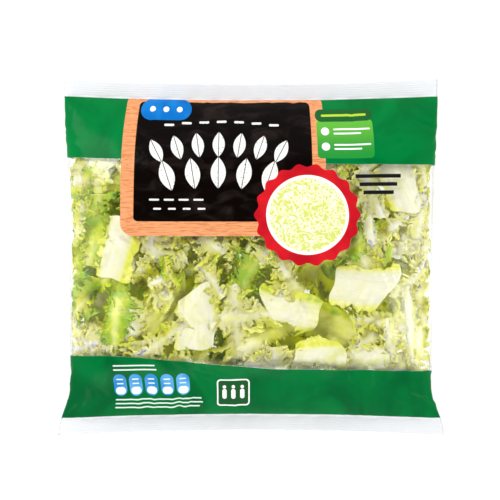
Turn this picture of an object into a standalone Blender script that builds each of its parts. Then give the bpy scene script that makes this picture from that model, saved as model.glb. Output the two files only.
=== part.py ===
"""A sealed pillow bag of cut curly escarole heart, lying on its back.

Metres, +Z up. X runs across the bag and +Y towards its top seal. The origin is on the
surface that the bag lies on, under the middle of the bag's outline.
The film is one web, joined down its back and crimped at both ends. Each cut piece of leaf
is a solid of its own. The pieces lie over and under each other between the two sides of
the film, and none of them crosses another.
"""

import math
from typing import NamedTuple

import bpy
import numpy as np

MM = 0.001

# The bag, outside
BAG_LENGTH = 0.2350
TOP_SEAL_WIDTH = 0.2470
BOTTOM_SEAL_WIDTH = 0.2550
WAIST_WIDTH = 0.2386
CROWN_HEIGHT = 0.0540
SEAL_HEIGHT = 0.0140
WAIST_MIDDLE_HEIGHT = 0.0240
TOP_SEAL_DEPTH = 0.0110
BOTTOM_SEAL_DEPTH = 0.0105
SEAL_BOW = 0.0030
SEAL_WAVE = 0.0010
SEAL_WAVES = 3.5
TOP_FLARE_LENGTH = 0.0900
BOTTOM_FLARE_LENGTH = 0.0330
FLAT_PRESS = 0.0030
SIDE_POWER = 2.3
END_POWER = 3.0
END_SOFTNESS = 0.8

# The film
FILM = 0.0005
RING_HALF = 14
BODY_STATIONS = 16
SEAM_WIDTH = 0.0100
SEAM_STEP = 0.0008
CAVITY_END = 0.985
VENT_COUNT = 4
VENT_STATION = 11
VENT_SHARE = 0.16

# The leaves
BLADE = 0.0008
RIB = 0.0030
RIB_SHARE_OF_BAND = 0.4
CLEAR_OF_FILM = 0.0016
CLEAR_OF_LEAF = 0.0009
SIDE_ROOM = 0.0045
END_ROOM = 0.0120
SOFT_REACH = 0.0220
PRESSED_REACH = 0.0060
MOST_LOFT = 1.6
GRID_STEP = 0.0015
MASK_MARGIN = 0.0045
MASK_BLUR = 0.0075
LEAST_NEED = 0.000001
BELLY_POWER = 0.7
TOOTH_RANGE = (0.72, 1.14)
TOOTH_SLIP = 0.30
TOOTH_LEAN = 0.035
INNER_LINE = 0.5
END_POINT = 0.07
END_ROUND = 0.05
EDGE_DRAWS = 64
FIRST_SEED = 2603


class Kind(NamedTuple):
    """What one sort of cut piece looks like: its width is given as a share of its length."""

    rows: int
    length: tuple
    width: tuple
    root: float
    tip: float
    belly: float
    tooth: float
    rib_at_root: float
    ruffle: float
    waves: float
    band: float


KINDS = {
    "rib": Kind(5, (0.046, 0.058), (0.58, 0.70), 0.80, 0.95, 0.05, 0.25, 1.00, 0.25, 2.0, 0.0075),
    "leaf": Kind(8, (0.066, 0.080), (0.60, 0.72), 0.35, 0.30, 0.65, 0.78, 0.55, 0.42, 4.0, 0.0095),
    "tuft": Kind(8, (0.050, 0.060), (0.84, 0.98), 0.30, 0.70, 0.40, 0.82, 0.40, 0.48, 4.0, 0.0100),
    "strip": Kind(7, (0.066, 0.080), (0.26, 0.32), 0.60, 0.45, 0.40, 0.75, 0.60, 0.45, 3.5, 0.0080),
}
FILM_COLOUR = (0.90, 0.95, 0.90, 1.0)
COLOURS = {
    "rib": (0.90, 0.92, 0.78, 1.0),
    "leaf": (0.62, 0.78, 0.22, 1.0),
    "tuft": (0.78, 0.86, 0.34, 1.0),
    "strip": (0.42, 0.66, 0.16, 1.0),
}


class Piece(NamedTuple):
    """One cut piece of leaf: what it is, where its middle is, how it is turned and how long it is."""

    kind: str
    x: float
    y: float
    turn: float
    bend: float
    length: float
    seed: int


# The pieces that show through the front of the bag, the uppermost first: kind, x and y in
# millimetres, turn in degrees from +X, bend in degrees over the length, length in millimetres.
FRONT_PIECES = (
    ("rib", -86, 4, 76, 10, 40), ("rib", -36, -40, -88, 8, 40), ("rib", 72, -20, -4, 12, 40),
    ("rib", 44, -64, 2, -6, 34), ("leaf", -88, -38, -94, 12, 50), ("rib", 26, -34, -14, 12, 38),
    ("rib", 99, 47, -62, 10, 40), ("strip", 104, -46, -84, 14, 56), ("rib", -57, -34, 28, 14, 38),
    ("strip", 78, 16, -86, 10, 52), ("rib", 74, -69, 10, 8, 32), ("tuft", -2, -14, 60, 10, 42),
    ("strip", 92, -20, -74, -12, 50), ("rib", -105, -4, 24, 8, 34), ("leaf", 10, -50, 24, -14, 54),
    ("strip", -30, -6, 24, 30, 46), ("tuft", -20, -62, -100, 10, 42), ("rib", 52, -44, -20, 8, 42),
    ("leaf", 104, 4, -72, 12, 60), ("tuft", 74, -48, -96, 8, 44), ("leaf", 68, 0, 176, 12, 56),
    ("leaf", -62, 2, 168, 14, 60), ("tuft", -106, -58, 140, 8, 46), ("leaf", -66, -66, 12, 10, 58),
    ("tuft", 20, -4, -20, 10, 50), ("leaf", -94, 54, 66, -12, 70), ("leaf", 60, 46, 150, 12, 66),
    ("leaf", -36, 44, 16, 12, 72), ("tuft", 8, 40, 84, 10, 58), ("leaf", 96, 80, 160, 12, 62),
    ("leaf", 14, 84, 4, -10, 74), ("leaf", -62, 86, 172, 10, 74), ("leaf", 2, -88, 4, 10, 76),
    ("leaf", 84, -90, 174, 8, 72), ("leaf", -76, -90, 170, 10, 76),
)
# The pieces below them, met from the back of the bag, the lowest first.
BACK_ROWS = 4
BACK_COLUMNS = 5
BACK_KINDS = ("leaf", "rib", "tuft", "leaf", "strip", "leaf", "rib", "leaf", "tuft")
BACK_PITCH_X = 0.046
BACK_PITCH_Y = 0.048
BACK_JITTER = 0.007
BACK_GROWTH = 1.12
BACK_BEND = 0.3


def smooth(t):
    """A step from 0 to 1 with soft ends."""
    t = np.clip(t, 0.0, 1.0)
    return t * t * (3.0 - 2.0 * t)


def half_width(y):
    """Half the bag's width at y: widest at the two seals."""
    end = BAG_LENGTH / 2
    top = (TOP_SEAL_WIDTH - WAIST_WIDTH) * smooth((y - end + TOP_FLARE_LENGTH) / TOP_FLARE_LENGTH)
    low = (BOTTOM_SEAL_WIDTH - WAIST_WIDTH) * smooth((BOTTOM_FLARE_LENGTH - end - y) / BOTTOM_FLARE_LENGTH)
    return (WAIST_WIDTH + top + low) / 2


def cavity_half_length(y):
    """From the middle of the bag to the inner line of the seal on that side."""
    return BAG_LENGTH / 2 - np.where(y > 0, TOP_SEAL_DEPTH, BOTTOM_SEAL_DEPTH)


def fullness(y):
    """How far the bag is filled at y: 1 in the middle and 0 at the seals."""
    along = np.clip(np.abs(y) / cavity_half_length(y), 0.0, 1.0)
    return (1.0 - along**END_POWER) ** END_SOFTNESS


def middle_height(x, y):
    """Height of the surface that halves the bag, which the seals lie in."""
    full = fullness(y)
    wave = SEAL_WAVE * np.sin(2 * math.pi * SEAL_WAVES * x / BAG_LENGTH + y / BAG_LENGTH) * (1 - full) ** 2
    return SEAL_HEIGHT + (WAIST_MIDDLE_HEIGHT - SEAL_HEIGHT) * full + wave


def front_rise(y):
    """How far the inside of the front film rises above the bag's middle surface."""
    return (CROWN_HEIGHT - WAIST_MIDDLE_HEIGHT - FILM) * fullness(y)


def back_drop(y):
    """How far the inside of the back film would hang below the middle surface, were it not pressed flat."""
    return (WAIST_MIDDLE_HEIGHT + FLAT_PRESS) * fullness(y)


def bowed(x, y):
    """y moved towards the bag's middle, most on its centre line, where the filling draws the seals in."""
    side = np.clip(np.abs(x) / (WAIST_WIDTH / 2), 0.0, 1.0)
    return y * (1.0 - SEAL_BOW / (BAG_LENGTH / 2) * (1.0 - side**2))


def unbowed(x, y):
    """The inverse of bowed."""
    side = np.clip(np.abs(x) / (WAIST_WIDTH / 2), 0.0, 1.0)
    return y / (1.0 - SEAL_BOW / (BAG_LENGTH / 2) * (1.0 - side**2))


def inner_heights(x, y):
    """Heights of the inside of the back and of the front film over (x, y)."""
    y = unbowed(x, y)
    across = np.clip(np.abs(x) / (half_width(y) - FILM), 0.0, 1.0)
    section = (1.0 - across**SIDE_POWER) ** (1.0 / SIDE_POWER)
    middle = middle_height(x, y)
    return np.maximum(middle - back_drop(y) * section, FILM), middle + front_rise(y) * section


def ring_angles():
    """Angles round the bag from one side fold to the other over the front, and back underneath.

    Underneath, four of the points are the edges of the lapped seam down the middle."""
    front = [math.pi * k / RING_HALF for k in range(RING_HALF + 1)]
    back = [math.pi + math.pi * k / RING_HALF for k in range(1, RING_HALF)]
    middle = math.pi * 1.5
    back = [a for a in back if abs(a - middle) > 1e-6]
    edges = []
    for reach in (SEAM_WIDTH / 2 + SEAM_STEP, SEAM_WIDTH / 2):
        cosine = (reach / (WAIST_WIDTH / 2)) ** (SIDE_POWER / 2)
        edges += [middle - math.asin(cosine), middle + math.asin(cosine)]
    return front + sorted(back + edges)


def ring_point(angle, y, inside, lapped):
    """A point of the film on the ring at y, on its outer or its inner face."""
    cosine, sine = math.cos(angle), math.sin(angle)
    half = half_width(y) - (FILM if inside else 0.0)
    x = half * math.copysign(abs(cosine) ** (2 / SIDE_POWER), cosine)
    share = abs(sine) ** (2 / SIDE_POWER) if abs(sine) > 1e-9 else 0.0
    wall = 0.0 if inside else FILM
    middle = float(middle_height(x, y))
    if sine >= 0:
        z = middle + (float(front_rise(y)) + wall) * share
    else:
        seam = FILM if lapped and abs(x) < SEAM_WIDTH / 2 + SEAM_STEP / 2 else 0.0
        z = max(middle - (float(back_drop(y)) + wall) * share, FILM if inside else 0.0) + seam
    return x, float(bowed(x, y)), z


def body_stations():
    """y of each ring of the cavity, closer together towards the seals."""
    low = -float(cavity_half_length(-1.0)) * CAVITY_END
    high = float(cavity_half_length(1.0)) * CAVITY_END
    turns = [math.pi * k / (BODY_STATIONS - 1) for k in range(BODY_STATIONS)]
    return [(low + high) / 2 - (high - low) / 2 * math.cos(t) for t in turns]


class Shell:
    """Vertices and faces of one mesh, built ring by ring."""

    def __init__(self):
        self.points = []
        self.faces = []

    def ring(self, angles, y, inside, lapped=False):
        """Adds a ring and returns its vertex numbers."""
        first = len(self.points)
        self.points += [ring_point(a, y, inside, lapped) for a in angles]
        return list(range(first, len(self.points)))

    def wall(self, one, two, turned):
        """Adds two triangles for each side of two rings, and returns the first of each two.

        The line between them runs towards the bag's middle, on both faces of the film, so the
        two faces keep their distance."""
        made = []
        for k in range(len(one)):
            n = (k + 1) % len(one)
            nearer = abs(self.points[one[n]][0]) < abs(self.points[one[k]][0])
            rising = abs(self.points[two[k]][1]) < abs(self.points[one[k]][1])
            if nearer == rising:
                pair = (one[k], one[n], two[n]), (one[k], two[n], two[k])
            else:
                pair = (one[k], one[n], two[k]), (one[n], two[n], two[k])
            made.append(len(self.faces))
            self.faces += [face[::-1] if turned else face for face in pair]
        return made

    def cap(self, ring, towards):
        """Closes a ring with a strip of triangles from one side fold to the other.

        They face the top seal if towards is 1. Each step goes on along the front or the back,
        whichever is behind, unless that would fold the strip over."""
        front = ring[: RING_HALF + 1]
        back = [ring[0]] + ring[:RING_HALF:-1] + [ring[RING_HALF]]

        def area(face):
            (ax, _, az), (bx, _, bz), (cx, _, cz) = (self.points[p] for p in face)
            return (bx - ax) * (cz - az) - (bz - az) * (cx - ax)

        i = j = 0
        while i < len(front) - 1 or j < len(back) - 1:
            steps = []
            if i < len(front) - 1:
                steps.append((-self.points[front[i + 1]][0], (front[i], front[i + 1], back[j]), (i + 1, j)))
            if j < len(back) - 1:
                steps.append((-self.points[back[j + 1]][0], (front[i], back[j + 1], back[j]), (i, j + 1)))
            upright = [s for s in steps if len(set(s[1])) < 3 or area(s[1]) > 0]
            _, face, (i, j) = min(upright or steps)
            if len(set(face)) == 3:
                self.faces.append(face if towards < 0 else face[::-1])

    def pierce(self, outer, inner):
        """Opens a small hole through the film, from one outer face to the inner face above it."""
        rims = []
        for number in (outer, inner):
            corners = self.faces[number]
            middle = np.mean([self.points[c] for c in corners], axis=0)
            rim = []
            for corner in corners:
                hole = middle + (np.array(self.points[corner]) - middle) * VENT_SHARE
                rim.append(len(self.points))
                self.points.append(tuple(float(v) for v in hole))
            rims.append((corners, rim))
            self.faces[number] = None
        for corners, rim in rims:
            for k in range(3):
                n = (k + 1) % 3
                self.faces.append((corners[k], corners[n], rim[n], rim[k]))
        (_, out_rim), (_, in_rim) = rims
        plan = {p: self.points[p][:2] for p in out_rim + in_rim}
        matched = [min(in_rim, key=lambda p: math.dist(plan[p], plan[o])) for o in out_rim]
        for k in range(3):
            n = (k + 1) % 3
            self.faces.append((out_rim[k], out_rim[n], matched[n], matched[k]))


def material(name, colour, roughness, alpha=1.0):
    """A plain finish for one node."""
    made = bpy.data.materials.new(name)
    made.use_nodes = True
    finish = made.node_tree.nodes["Principled BSDF"]
    finish.inputs["Base Color"].default_value = colour
    finish.inputs["Roughness"].default_value = roughness
    finish.inputs["Metallic"].default_value = 0.0
    finish.inputs["Alpha"].default_value = alpha
    return made


def add_object(name, points, faces, finish):
    """Makes a named object from vertices and faces."""
    mesh = bpy.data.meshes.new(name)
    mesh.from_pydata(points, [], faces)
    mesh.validate()
    mesh.materials.append(finish)
    mesh.shade_smooth()
    made = bpy.data.objects.new(name, mesh)
    bpy.context.scene.collection.objects.link(made)
    return made


def make_film():
    """The one web of film: outer face, end seals, cavity and breathing holes."""
    shell = Shell()
    angles = ring_angles()
    stations = body_stations()
    ends = [-BAG_LENGTH / 2, -float(cavity_half_length(-1.0))]
    other_ends = [float(cavity_half_length(1.0)), BAG_LENGTH / 2]
    outer = [shell.ring(angles, y, False) for y in ends + stations + other_ends]
    inner = [shell.ring(angles, y, True, y not in (stations[0], stations[-1])) for y in stations]
    outer_faces = [shell.wall(one, two, True) for one, two in zip(outer, outer[1:])]
    inner_faces = [shell.wall(one, two, False) for one, two in zip(inner, inner[1:])]
    for rings, way in ((outer, 1), (inner, -1)):
        shell.cap(rings[0], -way)
        shell.cap(rings[-1], way)
    first_back = RING_HALF + 3
    for k in range(VENT_COUNT):
        place = first_back + 2 * k + (4 if k >= VENT_COUNT // 2 else 0)
        shell.pierce(outer_faces[VENT_STATION + 2][place], inner_faces[VENT_STATION][place])
    faces = [f for f in shell.faces if f is not None]
    return add_object("film_bag", shell.points, faces, material("film_bag", FILM_COLOUR, 0.15, 0.3))


def all_pieces():
    """The pieces from the front down, and those from the back up."""
    front = []
    for k, (kind, x, y, turn, bend, length) in enumerate(FRONT_PIECES):
        turned = (math.radians(turn), math.radians(bend))
        front.append(Piece(kind, x * MM, y * MM, *turned, length * MM, FIRST_SEED + k))
    draw = np.random.default_rng(FIRST_SEED)
    back = []
    for k in range(BACK_ROWS * BACK_COLUMNS):
        row, column = divmod(k * 7 % (BACK_ROWS * BACK_COLUMNS), BACK_COLUMNS)
        jitter = draw.uniform(-BACK_JITTER, BACK_JITTER, 2)
        x = (column - (BACK_COLUMNS - 1) / 2) * BACK_PITCH_X + jitter[0]
        y = (row - (BACK_ROWS - 1) / 2) * BACK_PITCH_Y + jitter[1]
        kind = BACK_KINDS[k % len(BACK_KINDS)]
        length = draw.uniform(*KINDS[kind].length) * BACK_GROWTH
        turn = draw.uniform(0, 2 * math.pi)
        bend = draw.uniform(-BACK_BEND, BACK_BEND)
        back.append(Piece(kind, x, y, turn, bend, length, FIRST_SEED + len(front) + k))
    return front, back


class Sheet:
    """The flat cut shape of one piece and where it lies in plan."""

    def __init__(self, piece):
        self.piece = piece
        self.kind = KINDS[piece.kind]
        draw = np.random.default_rng(piece.seed)
        self.length = piece.length
        self.width = self.length * draw.uniform(*self.kind.width)
        self.phase = draw.uniform(0, 2 * math.pi, 4)
        self.tooth = draw.uniform(*TOOTH_RANGE, EDGE_DRAWS)
        self.slip = draw.uniform(-TOOTH_SLIP, TOOTH_SLIP, EDGE_DRAWS)
        self.lay_out()

    def half(self, along):
        """Half the blade's width at a place from 0, the cut end, to 1, the tip."""
        k = self.kind
        ends = k.root + (k.tip - k.root) * along
        belly = k.belly * np.sin(math.pi * np.clip(along, 0, 1)) ** BELLY_POWER
        return self.width / 2 * np.minimum(ends + belly, 1.0)

    def lay_out(self):
        """Lists the sheet's points as (along, across), and the triangles between them."""
        rows = self.kind.rows
        self.inner = [[r * 3 + c for c in range(3)] for r in range(rows + 1)]
        flat = [(r / rows, c) for r in range(rows + 1) for c in (-INNER_LINE, 0.0, INNER_LINE)]
        edge_count = 2 * rows + 1
        self.left = list(range(len(flat), len(flat) + edge_count))
        self.right = list(range(len(flat) + edge_count, len(flat) + 2 * edge_count))
        flat += [(j / (2 * rows), side) for side in (-1.0, 1.0) for j in range(edge_count)]
        self.flat = np.array(flat)
        self.triangles = []
        for r in range(rows):
            a, b = self.inner[r], self.inner[r + 1]
            for c in range(2):
                self.triangles += [(a[c], b[c], b[c + 1]), (a[c], b[c + 1], a[c + 1])]
            one, mid, two = self.right[2 * r: 2 * r + 3]
            self.triangles += [(a[2], mid, one), (a[2], b[2], mid), (b[2], two, mid)]
            one, mid, two = self.left[2 * r: 2 * r + 3]
            self.triangles += [(a[0], one, mid), (a[0], mid, b[0]), (b[0], mid, two)]
        ends = (self.inner[0], self.inner[-1])
        self.rim = self.right + ends[1][::-1] + self.left[::-1] + ends[0]

    def plan(self):
        """Where each point lies in plan, before the film presses on it."""
        along, across = self.flat.T
        k = self.kind
        edge = np.abs(across) == 1.0
        tip = edge & (np.round(along * 2 * k.rows).astype(int) % 2 == 1)
        places = np.arange(len(along)) % EDGE_DRAWS
        reach = np.where(tip, 1.0, 1.0 - k.tooth) * self.tooth[places]
        spread = np.where(edge, INNER_LINE + (1.0 - INNER_LINE) * reach, np.abs(across))
        lean = TOOTH_LEAN * k.tooth + self.slip[places] / (2 * k.rows)
        point = np.where((along == 1.0) & (across == 0.0), END_POINT, 0.0)
        u = along + np.where(tip, lean, 0.0) + point + END_ROUND * (1 - spread**2) * (along - 0.5)
        v = np.sign(across) * spread * self.half(along)
        x = (u - 0.5) * self.length
        bend = self.piece.bend * (u - 0.5)
        x, v = x * np.cos(bend / 2) - v * np.sin(bend), x * np.sin(bend / 2) + v * np.cos(bend)
        c, s = math.cos(self.piece.turn), math.sin(self.piece.turn)
        x, y = self.piece.x + x * c - v * s, self.piece.y + x * s + v * c
        x -= self.excess(x, WAIST_WIDTH / 2 - SIDE_ROOM)
        y -= self.excess(y, float(cavity_half_length(self.piece.y)) - END_ROOM)
        return self.pressed(x, y)

    @staticmethod
    def excess(values, most):
        """How far the whole piece has to move inwards, so that little of it is left to press in."""
        reach = most + PRESSED_REACH
        return max(float(values.max()) - reach, 0.0) + min(float(values.min()) + reach, 0.0)

    @staticmethod
    def pressed(x, y):
        """Points moved softly inside the bag's outline."""
        def limit(value, most):
            start = most - SOFT_REACH
            size = np.abs(value)
            over = np.maximum(size - start, 0.0)
            return np.sign(value) * (np.minimum(size, start) + SOFT_REACH * np.tanh(over / SOFT_REACH))
        y = limit(y, cavity_half_length(y) - END_ROOM)
        return limit(x, half_width(y) - SIDE_ROOM), y

    def lift(self):
        """Where each point lies between the bottom of the piece's own space, 0, and its top, 1."""
        along, across = self.flat.T
        k = self.kind
        side = np.where(across < 0, self.phase[0], self.phase[1])
        wave = np.sin(2 * math.pi * k.waves * along + side)
        channel = 0.16 * np.cos(math.pi * across)
        roll = 0.14 * np.sin(2 * math.pi * along + self.phase[2])
        ruffle = k.ruffle * np.abs(across) ** 1.5 * wave
        return np.clip(0.52 - channel + roll * (1 - across**2) + ruffle, 0.0, 1.0)

    def thickness(self):
        """Thickness of the piece at each point: most on the rib near the cut end."""
        along, across = self.flat.T
        rib = np.clip(1.0 - np.abs(across) / (0.3 + 0.7 * self.kind.rib_at_root), 0.0, 1.0)
        return BLADE + (RIB - BLADE) * rib * self.kind.rib_at_root * (1.0 - 0.6 * along)


class Stack:
    """A grid over the bag that shares its height out among the pieces lying over each place."""

    def __init__(self):
        reach_x, reach_y = WAIST_WIDTH / 2 + 0.01, BAG_LENGTH / 2
        self.xs = np.arange(-reach_x, reach_x, GRID_STEP)
        self.ys = np.arange(-reach_y, reach_y, GRID_STEP)
        self.grid_x, self.grid_y = np.meshgrid(self.xs, self.ys, indexing="ij")

    def spread(self, mask, reach, take_most):
        """The mask widened, or blurred, by this reach along both axes."""
        cells = max(1, int(round(reach / GRID_STEP)))
        for axis in (0, 1):
            shifts = [np.roll(mask, k, axis) for k in range(-cells, cells + 1)]
            mask = np.max(shifts, axis=0) if take_most else np.mean(shifts, axis=0)
        return mask

    def cover(self, sheet, plan):
        """1 over the piece and a margin round it, falling softly to 0."""
        rim = np.array([(plan[0][k], plan[1][k]) for k in sheet.rim])
        inside = np.zeros(self.grid_x.shape, bool)
        for (x0, y0), (x1, y1) in zip(rim, np.roll(rim, -1, axis=0)):
            if y0 == y1:
                continue
            crossed = (y0 > self.grid_y) != (y1 > self.grid_y)
            inside ^= crossed & (self.grid_x < (x1 - x0) * (self.grid_y - y0) / (y1 - y0) + x0)
        wide = self.spread(inside.astype(float), MASK_MARGIN + MASK_BLUR, True)
        return np.clip(self.spread(wide, MASK_BLUR, False), 0.0, 1.0)

    def at(self, field, x, y):
        """The field read between its grid points."""
        u = np.clip((x - self.xs[0]) / GRID_STEP, 0, len(self.xs) - 1.001)
        v = np.clip((y - self.ys[0]) / GRID_STEP, 0, len(self.ys) - 1.001)
        i, j = u.astype(int), v.astype(int)
        p, q = u - i, v - j
        return (
            field[i, j] * (1 - p) * (1 - q) + field[i + 1, j] * p * (1 - q)
            + field[i, j + 1] * (1 - p) * q + field[i + 1, j + 1] * p * q)


def make_leaf(name, sheet, plan, low, high, finish):
    """The closed solid of one piece between the floor and the ceiling of its own space."""
    x, y = plan
    room = high - low
    thick = np.minimum(sheet.thickness(), room * RIB_SHARE_OF_BAND)
    slack = np.maximum(room - 2 * CLEAR_OF_LEAF - thick, 0.0)
    middle = low + np.minimum(CLEAR_OF_LEAF, room * 0.2) + thick / 2 + sheet.lift() * slack
    count = len(x)
    points = [tuple(p) for p in np.stack([x, y, middle + thick / 2], axis=1)]
    points += [tuple(p) for p in np.stack([x, y, middle - thick / 2], axis=1)]
    faces = list(sheet.triangles) + [tuple(k + count for k in t[::-1]) for t in sheet.triangles]
    rim = sheet.rim
    for k, one in enumerate(rim):
        two = rim[(k + 1) % len(rim)]
        faces += [(one, two + count, one + count), (one, two, two + count)]
    return add_object(name, points, faces, finish)


def make_leaves():
    """Every cut piece, each in its own share of the height between the films."""
    stack = Stack()
    front, back = all_pieces()
    sheets = [Sheet(piece) for piece in front + back]
    plans = [sheet.plan() for sheet in sheets]
    fills = [sheet.kind.band * stack.cover(sheet, plan) for sheet, plan in zip(sheets, plans)]
    need = np.maximum(np.sum(fills, axis=0), LEAST_NEED)
    floor, ceiling = inner_heights(stack.grid_x, stack.grid_y)
    floor, ceiling = floor + CLEAR_OF_FILM, ceiling - CLEAR_OF_FILM
    loft = np.minimum(MOST_LOFT, np.maximum(ceiling - floor, 0.0) / need)
    finishes = {kind: material("leaf_" + kind, COLOURS[kind], 0.45) for kind in KINDS}
    for k, (sheet, plan) in enumerate(zip(sheets, plans)):
        own = stack.at(sheet.kind.band * loft, *plan)
        if k < len(front):
            above = np.sum([np.zeros(need.shape)] + fills[:k], axis=0)
            high = stack.at(ceiling - above * loft, *plan)
            low = high - own
            name = f"front_{sheet.piece.kind}_{k + 1:02d}"
        else:
            below = np.sum([np.zeros(need.shape)] + fills[len(front): k], axis=0)
            low = stack.at(floor + below * loft, *plan)
            high = low + own
            name = f"back_{sheet.piece.kind}_{k + 1 - len(front):02d}"
        make_leaf(name, sheet, plan, low, high, finishes[sheet.piece.kind])


def main():
    """Clears the scene and builds the bag."""
    for old in list(bpy.data.objects):
        bpy.data.objects.remove(old)
    make_film()
    make_leaves()


main()
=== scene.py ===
"""The looks of a sealed pillow bag of cut curly escarole heart, lying on its back.

Metres, +Z up. X runs across the bag and +Y towards its top seal. The film is one closed skin,
printed on its outside. Every cut piece of leaf repeats the plan and the share of the bag's
height that its solid has, with a fringe of curled fingers where the solid has plain teeth.
"""

from __future__ import annotations

import logging
import math
from dataclasses import dataclass, field
from enum import Enum
from typing import Iterable, Sequence

import bpy
import numpy as np
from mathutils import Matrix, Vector


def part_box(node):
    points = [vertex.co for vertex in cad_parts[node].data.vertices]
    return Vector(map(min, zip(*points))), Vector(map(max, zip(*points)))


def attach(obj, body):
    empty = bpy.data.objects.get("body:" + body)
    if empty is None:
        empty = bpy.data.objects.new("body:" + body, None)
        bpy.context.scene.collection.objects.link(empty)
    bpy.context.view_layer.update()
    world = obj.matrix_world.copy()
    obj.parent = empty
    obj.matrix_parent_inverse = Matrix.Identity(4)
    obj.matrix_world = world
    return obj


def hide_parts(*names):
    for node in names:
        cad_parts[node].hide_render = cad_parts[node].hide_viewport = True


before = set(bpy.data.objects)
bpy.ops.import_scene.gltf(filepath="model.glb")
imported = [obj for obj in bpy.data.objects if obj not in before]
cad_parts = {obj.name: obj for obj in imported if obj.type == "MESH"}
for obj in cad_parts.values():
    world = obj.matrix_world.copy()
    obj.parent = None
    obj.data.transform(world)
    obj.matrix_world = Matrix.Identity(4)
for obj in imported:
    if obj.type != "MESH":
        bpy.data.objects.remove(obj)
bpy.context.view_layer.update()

MM = 0.001
FULL_TURN = 2 * math.pi
log = logging.getLogger("bag")

Socket = bpy.types.NodeSocket
Colour = tuple[float, float, float, float]
Span = tuple[float, float]
Pair = tuple[np.ndarray, np.ndarray]


def smooth(t: np.ndarray | float) -> np.ndarray:
    """A step from 0 to 1 with soft ends."""
    t = np.clip(t, 0.0, 1.0)
    return t * t * (3.0 - 2.0 * t)


def tone(red: int, green: int, blue: int) -> Colour:
    """A colour given as a screen shows it, 0 to 255, turned into light."""
    parts = [v / 255 for v in (red, green, blue)]
    return tuple(v / 12.92 if v <= 0.04045 else ((v + 0.055) / 1.055) ** 2.4 for v in parts) + (1.0,)


def deselect() -> None:
    """Leaves nothing selected, so that an operator acts on new things only."""
    bpy.ops.object.select_all(action="DESELECT")


def make_active(piece: bpy.types.Object) -> None:
    """Selects this object alone and makes it the active one."""
    deselect()
    piece.select_set(True)
    bpy.context.view_layer.objects.active = piece


# The bag's form


@dataclass(frozen=True)
class BagForm:
    """The bag's outer form, by the same formulas as its solid."""

    length: float
    bottom_width: float
    crown: float
    top_width: float = 0.2470
    waist: float = 0.2386
    seal_height: float = 0.0140
    waist_middle: float = 0.0240
    top_seal: float = 0.0110
    bottom_seal: float = 0.0105
    bow: float = 0.0030
    wave: float = 0.0010
    waves: float = 3.5
    top_flare: float = 0.0900
    bottom_flare: float = 0.0330
    flat_press: float = 0.0030
    side_power: float = 2.3
    end_power: float = 3.0
    end_softness: float = 0.8
    film: float = 0.0005

    @classmethod
    def from_solid(cls) -> BagForm:
        """The form whose length, width and height are those of the bag's solid."""
        low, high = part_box("film_bag")
        return cls(length=high[1] - low[1], bottom_width=high[0] - low[0], crown=high[2] - low[2])

    def half_width(self, y: np.ndarray) -> np.ndarray:
        """Half the bag's width at y: widest at the two seals."""
        end = self.length / 2
        top = (self.top_width - self.waist) * smooth((y - end + self.top_flare) / self.top_flare)
        low = (self.bottom_width - self.waist) * smooth((self.bottom_flare - end - y) / self.bottom_flare)
        return (self.waist + top + low) / 2

    def cavity_half(self, y: np.ndarray) -> np.ndarray:
        """From the middle of the bag to the inner line of the seal on that side."""
        return self.length / 2 - np.where(np.asarray(y) > 0, self.top_seal, self.bottom_seal)

    def fullness(self, y: np.ndarray) -> np.ndarray:
        """How far the bag is filled at y: 1 in the middle and 0 at the seals."""
        along = np.clip(np.abs(y) / self.cavity_half(y), 0.0, 1.0)
        return (1.0 - along**self.end_power) ** self.end_softness

    def middle(self, x: np.ndarray, y: np.ndarray) -> np.ndarray:
        """Height of the surface that halves the bag, which the seals lie in."""
        full = self.fullness(y)
        turn = FULL_TURN * self.waves * x / self.length + y / self.length
        wave = self.wave * np.sin(turn) * (1 - full) ** 2
        return self.seal_height + (self.waist_middle - self.seal_height) * full + wave

    def rise(self, y: np.ndarray) -> np.ndarray:
        """How far the inside of the front film rises above the middle surface."""
        return (self.crown - self.waist_middle - self.film) * self.fullness(y)

    def drop(self, y: np.ndarray) -> np.ndarray:
        """How far the inside of the back film would hang below the middle surface, if not pressed flat."""
        return (self.waist_middle + self.flat_press) * self.fullness(y)

    def bow_factor(self, x: np.ndarray) -> np.ndarray:
        """What y is multiplied by, because the filling draws the seals in on the centre line."""
        side = np.clip(np.abs(x) / (self.waist / 2), 0.0, 1.0)
        return 1.0 - self.bow / (self.length / 2) * (1.0 - side**2)

    def inner_heights(self, x: np.ndarray, y: np.ndarray) -> tuple[np.ndarray, np.ndarray]:
        """Heights of the inside of the back and of the front film over (x, y)."""
        y = y / self.bow_factor(x)
        across = np.clip(np.abs(x) / (self.half_width(y) - self.film), 0.0, 1.0)
        section = (1.0 - across**self.side_power) ** (1.0 / self.side_power)
        middle = self.middle(x, y)
        return np.maximum(middle - self.drop(y) * section, self.film), middle + self.rise(y) * section


# Shader nodes


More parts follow.
